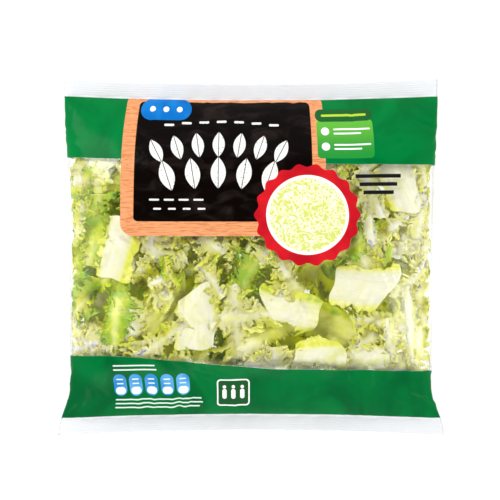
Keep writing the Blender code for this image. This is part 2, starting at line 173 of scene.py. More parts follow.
class Graph:
    """Adds nodes to one tree. Each input is given as a value or as another node's output."""

    def __init__(self, tree: bpy.types.NodeTree) -> None:
        """Works on this tree."""
        self.tree = tree

    def add(self, kind: str, inputs: dict | None = None, **settings: object) -> bpy.types.Node:
        """Adds a node.

        Args:
            kind: The node's type name.
            inputs: Values or outputs by the input's name or number.
            settings: The node's own settings.

        Returns:
            The new node.
        """
        node = self.tree.nodes.new(kind)
        for name, value in settings.items():
            setattr(node, name, value)
        for key, value in (inputs or {}).items():
            if isinstance(value, Socket):
                self.tree.links.new(value, node.inputs[key])
            else:
                node.inputs[key].default_value = value
        return node

    def math(self, operation: str, *values: float | Socket, clamp: bool = False) -> Socket:
        """The result of one sum on numbers."""
        node = self.add("ShaderNodeMath", dict(enumerate(values)), operation=operation, use_clamp=clamp)
        return node.outputs[0]

    def vector(self, operation: str, *values: Sequence[float] | Socket) -> Socket:
        """The result of one sum on vectors, which is a number for a length."""
        node = self.add("ShaderNodeVectorMath", dict(enumerate(values)), operation=operation)
        return node.outputs["Value" if operation == "LENGTH" else "Vector"]

    def parts(self, vector: Socket) -> tuple[Socket, Socket]:
        """The x and the y of a vector."""
        node = self.add("ShaderNodeSeparateXYZ", {0: vector})
        return node.outputs[0], node.outputs[1]

    def mix(self, factor: float | Socket, one: object, two: object, blend: str = "MIX") -> Socket:
        """One colour, with another over it as far as the factor says.

        Args:
            factor: How far, 0 to 1.
            one: The colour underneath.
            two: The colour over it.
            blend: How the one is laid over the other.

        Returns:
            The mixed colour.
        """
        node = self.add("ShaderNodeMix", {}, data_type="RGBA", blend_type=blend)
        for number, value in ((0, factor), (6, one), (7, two)):
            if isinstance(value, Socket):
                self.tree.links.new(value, node.inputs[number])
            else:
                node.inputs[number].default_value = value
        return node.outputs[2]

    def blend(self, factor: float | Socket, one: float | Socket, two: float | Socket) -> Socket:
        """A number between one and two, as far as the factor says."""
        node = self.add("ShaderNodeMix", {0: factor, 2: one, 3: two}, data_type="FLOAT")
        return node.outputs[0]

    def step(self, value: Socket, low: float, high: float, start: float = 0.0, end: float = 1.0) -> Socket:
        """A soft step from start to end as the value goes from low to high."""
        inputs = {"Value": value, "From Min": low, "From Max": high, "To Min": start, "To Max": end}
        return self.add("ShaderNodeMapRange", inputs, interpolation_type="SMOOTHSTEP").outputs[0]

    def noise(self, point: Socket, scale: float, detail: float = 2.0, distortion: float = 0.0) -> Socket:
        """Cloudy noise round 0.5."""
        inputs = {"Vector": point, "Scale": scale, "Detail": detail, "Distortion": distortion}
        return self.add("ShaderNodeTexNoise", inputs).outputs[0]

    def group(self, tree: bpy.types.NodeTree, **inputs: object) -> bpy.types.Node:
        """Places a node group, with inputs named in lower case and with _ for a space."""
        named = {name.replace("_", " ").capitalize(): value for name, value in inputs.items()}
        node = self.tree.nodes.new("ShaderNodeGroup")
        node.node_tree = tree
        for key, value in named.items():
            if isinstance(value, Socket):
                self.tree.links.new(value, node.inputs[key])
            else:
                node.inputs[key].default_value = value
        return node


def new_group(
    name: str, numbers: dict[str, float], outputs: Iterable[str]
) -> tuple[Graph, dict[str, Socket], bpy.types.Node]:
    """Starts a node group that reads a point and some numbers.

    Args:
        name: The group's name.
        numbers: Its number inputs, with what each is if nothing else is given.
        outputs: The names of its number outputs.

    Returns:
        The graph to build in, the group's inputs by name, and its output node.
    """
    tree = bpy.data.node_groups.new(name, "ShaderNodeTree")
    tree.interface.new_socket(name="Point", in_out="INPUT", socket_type="NodeSocketVector")
    for label, value in numbers.items():
        made = tree.interface.new_socket(name=label, in_out="INPUT", socket_type="NodeSocketFloat")
        made.default_value = value
    for label in outputs:
        tree.interface.new_socket(name=label, in_out="OUTPUT", socket_type="NodeSocketFloat")
    graph = Graph(tree)
    given = tree.nodes.new("NodeGroupInput")
    return graph, {s.name: s for s in given.outputs if s.name}, tree.nodes.new("NodeGroupOutput")


class Shapes:
    """The node groups that draw the print: each puts out a mask from a point in millimetres."""

    edge = 0.35

    def __init__(self) -> None:
        """Builds every group once."""
        self.box = self.make_box()
        self.disc = self.make_disc()
        self.leaf = self.make_leaf()
        self.bands = self.make_bands()

    def finish(self, graph: Graph, out: bpy.types.Node, distance: Socket) -> bpy.types.NodeTree:
        """Turns a distance into a mask with a soft edge and joins it to the group's output."""
        graph.tree.links.new(graph.step(distance, self.edge / 2, -self.edge / 2), out.inputs["Mask"])
        return graph.tree

    def centred(self, graph: Graph, given: dict) -> Socket:
        """The point, seen from the shape's own middle and turn."""
        middle = graph.add("ShaderNodeCombineXYZ", {0: given["X"], 1: given["Y"]}).outputs[0]
        moved = graph.vector("SUBTRACT", given["Point"], middle)
        inputs = {"Vector": moved, "Angle": graph.math("MULTIPLY", given["Turn"], -1.0)}
        return graph.add("ShaderNodeVectorRotate", inputs, rotation_type="Z_AXIS").outputs[0]

    def make_box(self) -> bpy.types.NodeTree:
        """A box with round corners."""
        numbers = {"X": 0.0, "Y": 0.0, "Width": 10.0, "Height": 10.0, "Radius": 1.0, "Turn": 0.0}
        graph, given, out = new_group("Rounded box", numbers, ["Mask"])
        size = graph.add("ShaderNodeCombineXYZ", {0: given["Width"], 1: given["Height"]}).outputs[0]
        half = graph.vector("MULTIPLY", size, (0.5, 0.5, 0.0))
        inner = graph.vector("SUBTRACT", half, given["Radius"])
        past = graph.vector("SUBTRACT", graph.vector("ABSOLUTE", self.centred(graph, given)), inner)
        x, y = graph.parts(past)
        flat = graph.add("ShaderNodeCombineXYZ", {0: x, 1: y}).outputs[0]
        outside = graph.vector("LENGTH", graph.vector("MAXIMUM", flat, (0.0, 0.0, 0.0)))
        inside = graph.math("MINIMUM", graph.math("MAXIMUM", x, y), 0.0)
        distance = graph.math("SUBTRACT", graph.math("ADD", outside, inside), given["Radius"])
        return self.finish(graph, out, distance)

    def make_disc(self) -> bpy.types.NodeTree:
        """A disc, whose rim may be scalloped."""
        numbers = {"X": 0.0, "Y": 0.0, "Radius": 5.0, "Lobes": 0.0, "Depth": 0.0, "Turn": 0.0}
        graph, given, out = new_group("Disc", numbers, ["Mask"])
        point = self.centred(graph, given)
        x, y = graph.parts(point)
        turn = graph.math("MULTIPLY", graph.math("ARCTAN2", y, x), given["Lobes"])
        wave = graph.math("MULTIPLY", graph.math("COSINE", turn), given["Depth"])
        reach = graph.math("ADD", given["Radius"], wave)
        return self.finish(graph, out, graph.math("SUBTRACT", graph.vector("LENGTH", point), reach))

    def make_leaf(self) -> bpy.types.NodeTree:
        """A pointed leaf with a bare line down its middle."""
        numbers = {"X": 0.0, "Y": 0.0, "Length": 12.0, "Width": 5.0, "Vein": 0.4, "Turn": 0.0}
        graph, given, out = new_group("Leaf mark", numbers, ["Mask"])
        x, y = graph.parts(self.centred(graph, given))
        along = graph.math("DIVIDE", x, graph.math("MULTIPLY", given["Length"], 0.5))
        bulge = graph.math("SUBTRACT", 1.0, graph.math("POWER", graph.math("ABSOLUTE", along), 2.0))
        half = graph.math("MULTIPLY", graph.math("MULTIPLY", given["Width"], 0.5), bulge)
        side = graph.math("ABSOLUTE", y)
        past = graph.math("SUBTRACT", side, half)
        vein = graph.math("SUBTRACT", graph.math("MULTIPLY", given["Vein"], 0.5), side)
        return self.finish(graph, out, graph.math("MAXIMUM", past, vein))

    def make_bands(self) -> bpy.types.NodeTree:
        """The two bands that run round the bag, the clear seals past them and the lap down the back."""
        numbers = {"Top edge": 62.9, "Tilt": -0.0204, "Low edge": -64.6, "Fall": -10.0, "Seal": 106.2,
                   "Half width": 127.5, "Lap": 10.0}
        graph, given, out = new_group("Bands", numbers, ["Mask", "Seal", "Side", "Lap"])
        x, y = graph.parts(given["Point"])
        mirrored = graph.math("SUBTRACT", graph.math("MULTIPLY", given["Half width"], -2.0), x)
        across = graph.math("MAXIMUM", x, mirrored)
        top = graph.math("MULTIPLY_ADD", across, given["Tilt"], given["Top edge"])
        fall = graph.step(across, -110.0, 29.0)
        low = graph.math("MULTIPLY_ADD", fall, given["Fall"], given["Low edge"])
        above = graph.step(graph.math("SUBTRACT", y, top), -self.edge / 2, self.edge / 2)
        below = graph.step(graph.math("SUBTRACT", low, y), -self.edge / 2, self.edge / 2)
        past = graph.math("SUBTRACT", graph.math("ABSOLUTE", y), given["Seal"])
        seal = graph.step(past, -self.edge / 2, self.edge / 2)
        band = graph.math("MULTIPLY", graph.math("MAXIMUM", above, below), graph.math("SUBTRACT", 1.0, seal))
        side = graph.math("SUBTRACT", graph.math("ABSOLUTE", across), given["Half width"])
        lap = graph.math("ABSOLUTE", graph.math("MULTIPLY_ADD", given["Half width"], 2.0, x))
        on_lap = graph.step(graph.math("SUBTRACT", lap, graph.math("MULTIPLY", given["Lap"], 0.5)), 0.3, -0.3)
        for name, value in (("Mask", band), ("Seal", seal), ("Side", side), ("Lap", on_lap)):
            graph.tree.links.new(value, out.inputs[name])
        return graph.tree


# The print


class Texture(Enum):
    """How an ink looks close up."""

    PLAIN = "plain"
    CLOUD = "cloud"
    CHALK = "chalk"
    SLATE = "slate"
    WOOD = "wood"
    FADE = "fade"
    CURLS = "curls"


@dataclass(frozen=True)
class Mark:
    """One printed shape: the name of its group and its numbers, in millimetres on the web."""

    shape: str
    numbers: dict[str, float]


def box(x: float, y: float, width: float, height: float, radius: float = 0.6, turn: float = 0.0) -> Mark:
    """A box with round corners."""
    return Mark("box", {"x": x, "y": y, "width": width, "height": height, "radius": radius, "turn": turn})


def disc(x: float, y: float, radius: float, lobes: int = 0, depth: float = 0.0) -> Mark:
    """A disc, whose rim may be scalloped."""
    return Mark("disc", {"x": x, "y": y, "radius": radius, "lobes": float(lobes), "depth": depth})


def sprig(x: float, y: float, length: float, width: float, turn: float, vein: float = 0.5) -> Mark:
    """A pointed leaf."""
    return Mark("leaf", {"x": x, "y": y, "length": length, "width": width, "vein": vein, "turn": turn})


@dataclass(frozen=True)
class Ink:
    """One printing: a colour, how it looks close up, and the shapes that it fills."""

    colour: Colour
    marks: tuple[Mark, ...]
    texture: Texture = Texture.PLAIN
    second: Colour = (1.0, 1.0, 1.0, 1.0)


GREEN = tone(0, 118, 54)
DEEP_GREEN = tone(0, 110, 51)
CHALK = tone(236, 236, 230)
WHITE = tone(245, 246, 244)


@dataclass(frozen=True)
class FrontPrint:
    """What is printed on the upper front: a dark panel, a seal, a badge and a row of bars."""

    panel_x: float = -18.0
    panel_y: float = 63.0
    panel_width: float = 132.0
    panel_height: float = 98.0
    border: float = 8.6
    seal_x: float = 36.0
    seal_y: float = 28.0
    seal_radius: float = 33.0
    lobes: int = 18

    def garland(self) -> tuple[Mark, ...]:
        """Two rows of chalk leaves that lean out from the panel's middle, and dots between them."""
        marks = []
        for row, (height, length, count) in enumerate(((12.0, 17.0, 7), (-7.0, 21.0, 5))):
            for k in range(count):
                place = k - (count - 1) / 2
                pitch = 13.5 if row == 0 else 16.5
                turn = math.pi / 2 - 0.16 * place
                x = self.panel_x - 3.0 + place * pitch
                y = self.panel_y + height - 0.5 * place**2
                marks.append(sprig(x, y, length, length * 0.46, turn))
        return tuple(marks)

    def strokes(self) -> tuple[Mark, ...]:
        """Short chalk strokes under and over the leaves."""
        marks = []
        for k in range(7):
            bow = 0.25 * (k - 3) ** 2
            marks.append(box(self.panel_x - 36 + 11.5 * k, self.panel_y + 27.5 - bow, 6.5, 1.5, 0.7))
        for k in range(4):
            marks.append(box(self.panel_x - 44 + 9.5 * k, self.panel_y - 25.0, 6.5, 1.2, 0.6))
            marks.append(box(self.panel_x - 42 + 9.5 * k, self.panel_y - 31.0, 5.0, 1.2, 0.6))
        return tuple(marks)

    def inks(self) -> list[Ink]:
        """The printings from the lowest to the topmost."""
        x, y = self.panel_x, self.panel_y
        wide, high = self.panel_width, self.panel_height
        red_ring = self.seal_radius
        bars = tuple(box(82.0, 53.5 - 5.4 * k, 30.0 - 5.0 * k, 2.6, 0.3) for k in range(3))
        return [
            Ink(tone(226, 156, 108), (box(x, y, wide, high, 9.0),), Texture.WOOD, tone(196, 116, 70)),
            Ink(tone(10, 6, 5), (box(x, y + 1.0, wide - 2 * self.border, high - 2 * self.border, 3.0),),
                Texture.SLATE, tone(38, 30, 27)),
            Ink(CHALK, self.garland() + self.strokes(), Texture.CHALK),
            Ink(tone(0, 96, 176), (box(x - 39.0, y + 36.0, 34.0, 15.0, 7.5),), Texture.CLOUD,
                tone(22, 120, 196)),
            Ink(WHITE, tuple(disc(x - 48.0 + 9.0 * k, y + 36.0, 1.9) for k in range(3))),
            Ink(tone(206, 30, 38), (disc(self.seal_x, self.seal_y, red_ring, self.lobes, 1.1),),
                Texture.CLOUD, tone(176, 20, 32)),
            Ink(WHITE, (disc(self.seal_x, self.seal_y, red_ring * 0.80),)),
            Ink(tone(206, 212, 112), (disc(self.seal_x, self.seal_y, red_ring * 0.74),), Texture.CURLS,
                tone(240, 243, 214)),
            Ink(tone(96, 176, 60), (box(61.5, 78.5, 37.0, 26.0, 2.5),), Texture.FADE, tone(38, 140, 56)),
            Ink(tone(30, 92, 44), (box(61.5, 95.0, 38.0, 8.6, 4.0),)),
            Ink(tone(176, 206, 60), (box(61.5, 95.0, 30.0, 1.6, 0.8),)),
            Ink(WHITE, tuple(disc(48.5, 84.0 - 10.5 * k, 2.7) for k in range(2))
                + tuple(box(66.0, 85.2 - 10.5 * k, 24.0, 1.1, 0.4) for k in range(2))
                + tuple(box(63.0, 82.4 - 10.5 * k, 18.0, 1.1, 0.4) for k in range(2))),
            Ink(tone(24, 26, 24), bars),
        ]


@dataclass(frozen=True)
class FootPrint:
    """What is printed on the lower front: five capsules, thin rules and a square."""

    first_x: float = -88.0
    pitch: float = 10.6
    capsule_y: float = -84.6
    count: int = 5

    def inks(self) -> list[Ink]:
        """The printings from the lowest to the topmost."""
        places = [self.first_x + self.pitch * k for k in range(self.count)]
        capsules = tuple(box(x, self.capsule_y, 8.8, 14.6, 4.2) for x in places)
        feet = tuple(box(x, self.capsule_y - 3.8, 6.8, 5.0, 2.4) for x in places)
        ticks = tuple(box(x, self.capsule_y + 1.6 * k, 4.4, 0.8, 0.3) for x in places for k in (0.6, 2.4))
        rules = (box(-77.5, -71.6, 28.0, 0.9, 0.3), box(-77.0, -74.4, 29.0, 0.9, 0.3),
                 box(-62.5, -94.6, 58.0, 0.9, 0.3), box(-62.0, -97.4, 59.0, 0.9, 0.3),
                 box(-63.0, -100.2, 57.0, 0.9, 0.3))
        people = tuple(m for k in range(3) for m in (
            disc(-18.0 + 6.0 * k, -86.6, 1.15), box(-18.0 + 6.0 * k, -91.4, 2.9, 6.6, 1.3)))
        return [
            Ink(tone(42, 128, 196), capsules, Texture.CLOUD, tone(96, 170, 220)),
            Ink(tone(226, 238, 244), feet + ticks),
            Ink(tone(222, 236, 226), rules),
            Ink(WHITE, (box(-12.0, -90.6, 22.0, 18.4, 2.6),)),
            Ink(tone(26, 84, 40), (box(-12.0, -90.6, 20.2, 16.6, 1.9),)),
            Ink(WHITE, people),
        ]


# The film


@dataclass(frozen=True)
class FilmFinish:
    """Clear glossy film with opaque inks.

    The clear film is part haze and part mirror: its alpha is the sum of the two, and its
    metallic value is the mirror's share of that sum.
    """

    haze: float = 0.008
    seal_haze: float = 0.80
    # Painted sheen: the film is made hazier and greyer toward its side folds, for light reflected off film
    # seen edgewise there.
    fold_sheen_haze: float = 0.50
    side_reach: float = 7.0
    mirror_ior: float = 1.48
    ink_gloss: float = 0.03
    clear: Colour = tone(246, 249, 248)
    seal: Colour = tone(236, 238, 241)
    roughness: float = 0.07
    ink_roughness: float = 0.14

    def tinted(self, graph: Graph, point: Socket, ink: Ink) -> tuple[object, Socket | float]:
        """The ink's colour over the surface, and how solid it is.

        Args:
            graph: The material's graph.
            point: The place on the web, in millimetres.
            ink: What is printed.

        Returns:
            The colour, and a number that its mask is multiplied by.
        """
        kind = ink.texture
        if kind is Texture.PLAIN:
            return ink.colour, 1.0
        if kind is Texture.CHALK:
            grain = graph.noise(point, 0.9, 3.0)
            return ink.colour, graph.step(grain, 0.30, 0.44, 0.35, 1.0)
        if kind is Texture.CLOUD:
            amount = graph.step(graph.noise(point, 0.05, 2.0), 0.35, 0.65)
        elif kind is Texture.SLATE:
            long = graph.vector("MULTIPLY", point, (0.5, 1.0, 1.0))
            amount = graph.step(graph.noise(long, 0.10, 6.0, 0.8), 0.45, 0.78)
        elif kind is Texture.WOOD:
            grain = graph.noise(graph.vector("MULTIPLY", point, (0.12, 1.0, 1.0)), 0.9, 4.0, 1.2)
            amount = graph.step(grain, 0.4, 0.72)
        elif kind is Texture.FADE:
            _, y = graph.parts(point)
            amount = graph.step(y, 92.0, 66.0)
        else:
            ridge = graph.math("ABSOLUTE", graph.math("SUBTRACT", graph.noise(point, 0.20, 2.0, 1.6), 0.5))
            amount = graph.step(ridge, 0.10, 0.015)
        return graph.mix(amount, ink.colour, ink.second), 1.0

    def material(self, name: str, shapes: Shapes, inks: Sequence[Ink], web: Span) -> bpy.types.Material:
        """Makes the finish for one stretch of the film.

        Args:
            name: The material's name.
            shapes: The groups that draw the print.
            inks: What is printed over the bands there.
            web: The web's width all round and its length, in millimetres.

        Returns:
            The material.
        """
        made = bpy.data.materials.new(name)
        made.use_nodes = True
        graph = Graph(made.node_tree)
        surface = made.node_tree.nodes["Principled BSDF"]
        place = graph.add("ShaderNodeUVMap", uv_map="web").outputs["UV"]
        point = graph.add("ShaderNodeVectorMath", {0: place, 1: (-web[0], web[1], 0.0),
                                                   2: (web[0] / 4, -web[1] / 2, 0.0)},
                          operation="MULTIPLY_ADD").outputs["Vector"]
        bands = graph.group(shapes.bands, point=point)
        _, y = graph.parts(point)
        low_half = graph.step(y, 2.0, -2.0)
        cloud = graph.step(graph.noise(point, 0.026, 3.0, 1.2), 0.36, 0.70)
        bright = graph.mix(low_half, GREEN, DEEP_GREEN)
        green = graph.mix(cloud, bright, graph.mix(low_half, tone(0, 103, 47), tone(0, 91, 43)))
        # Painted sheen: toward the side folds the bare film takes the seals' grey-white, for the sheen of
        # film seen edgewise there.
        fold_sheen_tone = graph.step(bands.outputs["Side"], -self.side_reach, 0.0)
        bare_film = graph.mix(graph.math("MAXIMUM", bands.outputs["Seal"], fold_sheen_tone), self.clear, self.seal)
        colour = graph.mix(bands.outputs["Mask"], bare_film, green)
        cover = bands.outputs["Mask"]
        groups = {"box": shapes.box, "disc": shapes.disc, "leaf": shapes.leaf}
        inside = graph.math("SUBTRACT", 1.0, bands.outputs["Seal"])
        for ink in inks:
            mask = None
            for mark in ink.marks:
                drawn = graph.group(groups[mark.shape], point=point, **mark.numbers).outputs["Mask"]
                mask = drawn if mask is None else graph.math("MAXIMUM", mask, drawn)
            mask = graph.math("MULTIPLY", mask, inside)
            shade, solid = self.tinted(graph, point, ink)
            if ink.texture is Texture.CHALK:
                mask = graph.math("MULTIPLY", mask, solid)
            colour = graph.mix(mask, colour, shade)
            cover = graph.math("MAXIMUM", cover, mask)
        fine = graph.noise(point, 0.22, 4.0, 1.0)
        bump = graph.add("ShaderNodeBump", {"Strength": 0.25, "Distance": 0.0006, "Height": fine}).outputs[0]
        behind = graph.add("ShaderNodeNewGeometry").outputs["Backfacing"]
        either = graph.blend(behind, self.mirror_ior, 1.0 / self.mirror_ior)
        fresnel = graph.add("ShaderNodeFresnel", {"IOR": either, "Normal": bump}).outputs[0]
        # Painted sheen: the film grows hazier toward its side folds, for light reflected off film seen
        # edgewise there.
        side = graph.step(bands.outputs["Side"], -self.side_reach, 0.0, 0.0, self.fold_sheen_haze)
        clouds = graph.step(graph.noise(point, 0.03, 3.0), 0.3, 0.7, self.haze * 0.5, self.haze * 1.5)
        haze = graph.math("ADD", clouds, side)
        haze = graph.math("MAXIMUM", haze, graph.math("MULTIPLY", bands.outputs["Lap"], 0.22))
        haze = graph.math("MAXIMUM", haze, graph.math("MULTIPLY", bands.outputs["Seal"], self.seal_haze))
        both = graph.math("ADD", haze, fresnel)
        alpha = graph.blend(cover, graph.math("MINIMUM", both, 1.0), 1.0)
        share = graph.math("DIVIDE", fresnel, both)
        bare = graph.math("SUBTRACT", 1.0, cover)
        made.node_tree.links.new(colour, surface.inputs["Base Color"])
        made.node_tree.links.new(alpha, surface.inputs["Alpha"])
        made.node_tree.links.new(graph.math("MULTIPLY", share, bare), surface.inputs["Metallic"])
        rough = graph.blend(cover, self.roughness, self.ink_roughness)
        made.node_tree.links.new(rough, surface.inputs["Roughness"])
        made.node_tree.links.new(bump, surface.inputs["Normal"])
        surface.inputs["Specular IOR Level"].default_value = self.ink_gloss
        return made


@dataclass(frozen=True)
class Creases:
    """A family of creases in the film, as lines on the web in millimetres."""

    x: np.ndarray
    y: np.ndarray
    turn: np.ndarray
    length: np.ndarray
    width: np.ndarray
    height: np.ndarray


@dataclass
class FilmSkin:
    """The printed web of film, closed round the leaves."""

    form: BagForm
    columns: int = 288
    seal_rows: int = 24
    body_rows: int = 150
    row_ease: float = 0.55
    crimp_pitch: float = 1.5
    crimp_height: float = 0.10
    most_in: float = 0.95
    most_out: float = 1.3
    seed: int = 71
    finish: FilmFinish = field(default_factory=FilmFinish)

    def rows(self) -> np.ndarray:
        """y of each row of points, before the seals are drawn in."""
        low, high = -float(self.form.cavity_half(-1.0)), float(self.form.cavity_half(1.0))
        end = self.form.length / 2
        turn = np.linspace(0.0, 1.0, self.body_rows)
        body = low + (high - low) * (turn - self.row_ease * np.sin(FULL_TURN * turn) / FULL_TURN)
        bottom = np.linspace(-end, low, self.seal_rows, endpoint=False)
        top = np.linspace(high, end, self.seal_rows + 1)[1:]
        return np.concatenate([bottom, body, top])

    def sections(self, rows: np.ndarray) -> np.ndarray:
        """Points of the smooth film, row by row, from the right side fold over the front and back underneath.

        Args:
            rows: y of each row.

        Returns:
            An array of rows by columns by 3.
        """
        form = self.form
        half_columns = self.columns // 2
        points = np.empty((len(rows), self.columns + 1, 3))
        dense = np.linspace(0.0, math.pi, 3001)
        for number, y in enumerate(rows):
            wall = 0.0 if number in (0, len(rows) - 1) else form.film
            for side in (0, 1):
                angle = dense + side * math.pi
                cosine, sine = np.cos(angle), np.sin(angle)
                x = form.half_width(y) * np.sign(cosine) * np.abs(cosine) ** (2 / form.side_power)
                share = np.abs(sine) ** (2 / form.side_power)
                middle = form.middle(x, y)
                if side == 0:
                    z = middle + (form.rise(y) + wall) * share
                else:
                    z = np.maximum(middle - (form.drop(y) + wall) * share, 0.0)
                run = np.concatenate([[0.0], np.cumsum(np.hypot(np.diff(x), np.diff(z)))])
                even = np.linspace(0.0, run[-1], half_columns + 1)
                place = slice(side * half_columns, (side + 1) * half_columns + 1)
                points[number, place, 0] = np.interp(even, run, x)
                points[number, place, 2] = np.interp(even, run, z)
            points[number, :, 1] = y * form.bow_factor(points[number, :, 0])
        return points

    def scatter(self, draw: np.random.Generator) -> list[Creases]:
        """Draws every family of creases.

        Args:
            draw: The draws for the creases.

        Returns:
            The families.
        """
        up = math.pi / 2
        half = self.form.bottom_width / MM / 2
        families = []

        def family(count: int, *limits: Span) -> None:
            """Draws one family, each of its values between its own two limits."""
            families.append(Creases(*[draw.uniform(*pair, count) for pair in limits]))

        for centre in (0.0, -2 * half):
            across = (centre - 118, centre + 118)
            family(34, across, (96, 106), (up - 0.35, up + 0.35), (10, 30), (1.2, 2.2), (-0.75, 0.75))
            family(44, across, (-106, -94), (up - 0.45, up + 0.45), (10, 36), (1.2, 2.4), (-0.95, 0.95))
            across = (centre - 110, centre + 110)
            family(60, across, (-95, 95), (0, math.pi), (14, 48), (1.3, 2.6), (-0.50, 0.60))
        for fold in (half, -half):
            family(40, (fold - 12, fold + 12), (-100, 100), (-0.5, 0.5), (10, 34), (1.0, 2.4), (-0.6, 0.6))
        for fold in (half, -half):
            for end in (-1, 1):
                lean = math.atan2(end, math.copysign(1.0, fold))
                along = (end * 84 - 14, end * 84 + 14)
                family(7, (fold - 30, fold + 6), along, (lean - 0.5, lean + 0.5), (20, 48),
                       (1.4, 3.0), (-0.8, 0.8))
        return families

    def relief(self, x: np.ndarray, y: np.ndarray) -> np.ndarray:
        """How far the film stands out of its smooth form.

        Args:
            x: Places across the web, in millimetres.
            y: Places along it.

        Returns:
            Heights in millimetres.
        """
        draw = np.random.default_rng(self.seed)
        around = 2 * self.form.bottom_width / MM
        height = np.zeros(x.shape)
        for _ in range(14):
            turns, waves = draw.integers(4, 22), draw.uniform(-0.25, 0.25)
            phase = draw.uniform(0, FULL_TURN)
            height += 0.09 * np.sin(FULL_TURN * (turns * x / around + waves * y / 10) + phase)
        for family in self.scatter(draw):
            for cx, cy, turn, length, width, rise in zip(*vars(family).values()):
                dx = (x - cx + around / 2) % around - around / 2
                dy = y - cy
                along = (dx * math.cos(turn) + dy * math.sin(turn)) / (length / 2)
                bend = 0.10 * (length / width) * rise * along**2
                off = (dy * math.cos(turn) - dx * math.sin(turn)) / width - bend
                fade = np.clip(1.0 - along**2, 0.0, 1.0) ** 1.5
                height += rise * fade * (np.exp(-off**2) - 0.45 * np.exp(-((off - 1.3) ** 2)))
        return height

    def shape(self, rows: np.ndarray) -> np.ndarray:
        """The finished points: the smooth film, with its creases and its crimped seals.

        Args:
            rows: Where each row of points is along the bag.

        Returns:
            A grid of points.
        """
        points = self.sections(rows)
        count, columns = points.shape[:2]
        x = np.tile((0.25 - np.arange(columns) / self.columns) * 2 * self.form.bottom_width / MM, (count, 1))
        y = np.tile(rows[:, None] / MM, (1, columns))
        ring = points[:, :-1]
        across = np.roll(ring, -1, axis=1) - np.roll(ring, 1, axis=1)
        along = np.gradient(ring, axis=0)
        normal = np.cross(along, across)
        normal /= np.maximum(np.linalg.norm(normal, axis=2, keepdims=True), 1e-12)
        normal = np.concatenate([normal, normal[:, :1]], axis=1)
        full = self.form.fullness(rows)[:, None]
        calm = smooth(full / 0.12)
        raised = np.clip(self.relief(x, y), -self.most_in, self.most_out) * (0.10 + 0.90 * calm)
        raised = raised * smooth((self.form.length / 2 / MM - np.abs(y)) / 1.5)
        points = points + normal * (raised * MM)[..., None] * calm[..., None]
        in_seal = smooth((np.abs(rows) - self.form.cavity_half(rows)) / (1.2 * MM))[:, None]
        crimp = self.crimp_height * MM * np.sin(FULL_TURN * y / self.crimp_pitch) * in_seal
        swing = FULL_TURN * points[..., 0] / 0.017 + 2.0 * np.sin(points[..., 0] / 0.031)
        flutter = 0.35 * MM * np.sin(swing) * in_seal
        points[..., 2] = np.maximum(points[..., 2] + crimp + flutter, 0.0)
        return points

    def build(self, shapes: Shapes) -> bpy.types.Object:
        """Models the skin and dresses it.

        Args:
            shapes: The groups that draw the print.

        Returns:
            The finished piece.
        """
        rows = self.rows()
        deselect()
        bpy.ops.mesh.primitive_grid_add(x_subdivisions=self.columns, y_subdivisions=len(rows) - 1, size=1.0)
        skin = bpy.context.object
        skin.name = "film_skin"
        mesh = skin.data
        points = self.shape(rows)
        mesh.vertices.foreach_set("co", points.reshape(-1))
        corners = np.empty(len(mesh.loops), dtype=np.int64)
        mesh.loops.foreach_get("vertex_index", corners)
        column, row = corners % (self.columns + 1), corners // (self.columns + 1)
        web = np.stack([column / self.columns, rows[row] / self.form.length + 0.5], axis=1)
        layer = mesh.uv_layers[0]
        layer.name = "web"
        layer.uv.foreach_set("vector", web.astype(np.float32).reshape(-1))
        self.dress(mesh, points, shapes)
        make_active(skin)
        bpy.ops.object.mode_set(mode="EDIT")
        bpy.ops.mesh.select_all(action="SELECT")
        bpy.ops.mesh.remove_doubles(threshold=0.00001)
        bpy.ops.mesh.normals_make_consistent(inside=False)
        bpy.ops.object.mode_set(mode="OBJECT")
        bpy.ops.object.shade_smooth()
        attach(skin, "root")
        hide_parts("film_bag")
        return skin

    def dress(self, mesh: bpy.types.Mesh, points: np.ndarray, shapes: Shapes) -> None:
        """Gives each stretch of the film the finish with its own print."""
        web = (2 * self.form.bottom_width / MM, self.form.length / MM)
        mesh.materials.clear()
        stretches = (("film_plain", []), ("film_front_print", FrontPrint().inks()),
                     ("film_foot_print", FootPrint().inks()))
        for name, inks in stretches:
            mesh.materials.append(self.finish.material(name, shapes, inks, web))
        count = (self.columns, points.shape[0] - 1)
        column, row = np.meshgrid(np.arange(count[0]), np.arange(count[1]))
        x = (0.25 - (column + 0.5) / self.columns) * web[0]
        y = (self.rows()[row] + self.rows()[row + 1]) / 2 / MM
        front = (np.abs(x) < 104) & (y > -8)
        foot = (np.abs(x) < 104) & (y < -62)
        stretch = np.where(front, 1, np.where(foot, 2, 0))
        mesh.polygons.foreach_set("material_index", stretch.reshape(-1).astype(np.int32))


# The cut pieces


class LeafKind(Enum):
    """The sorts of cut piece. Shreds are the small ones between the others."""

    RIB = "rib"
    LEAF = "leaf"
    TUFT = "tuft"
    STRIP = "strip"
    SHRED = "shred"


@dataclass(frozen=True)
class Cut:
    """The form of one sort of piece, as its solid has it. Widths are shares of the length."""

    rows: int
    length: tuple[float, float]
    width: tuple[float, float]
    root: float
    tip: float
    belly: float
    tooth: float
    ruffle: float
    waves: float
    band: float


@dataclass(frozen=True)
class Fringe:
    """The fine form of one sort of piece.

    The fingers start at base, a share of the half width, and each has reach_rows rows of
    points along it. The rib is rib_share of the half width at the cut end. Fingers are
    between shortest and longest, as a share of the way to the solid's own edge.
    """

    fingers_per_row: float
    reach_rows: int
    blade_rows: int
    rib_rows: int
    base: float
    rib_share: float
    rib_taper: float
    rib_thickness: float
    shortest: float
    longest: float
    spread: float
    curl: float
    wander: float
    tooth: float
    slant: float


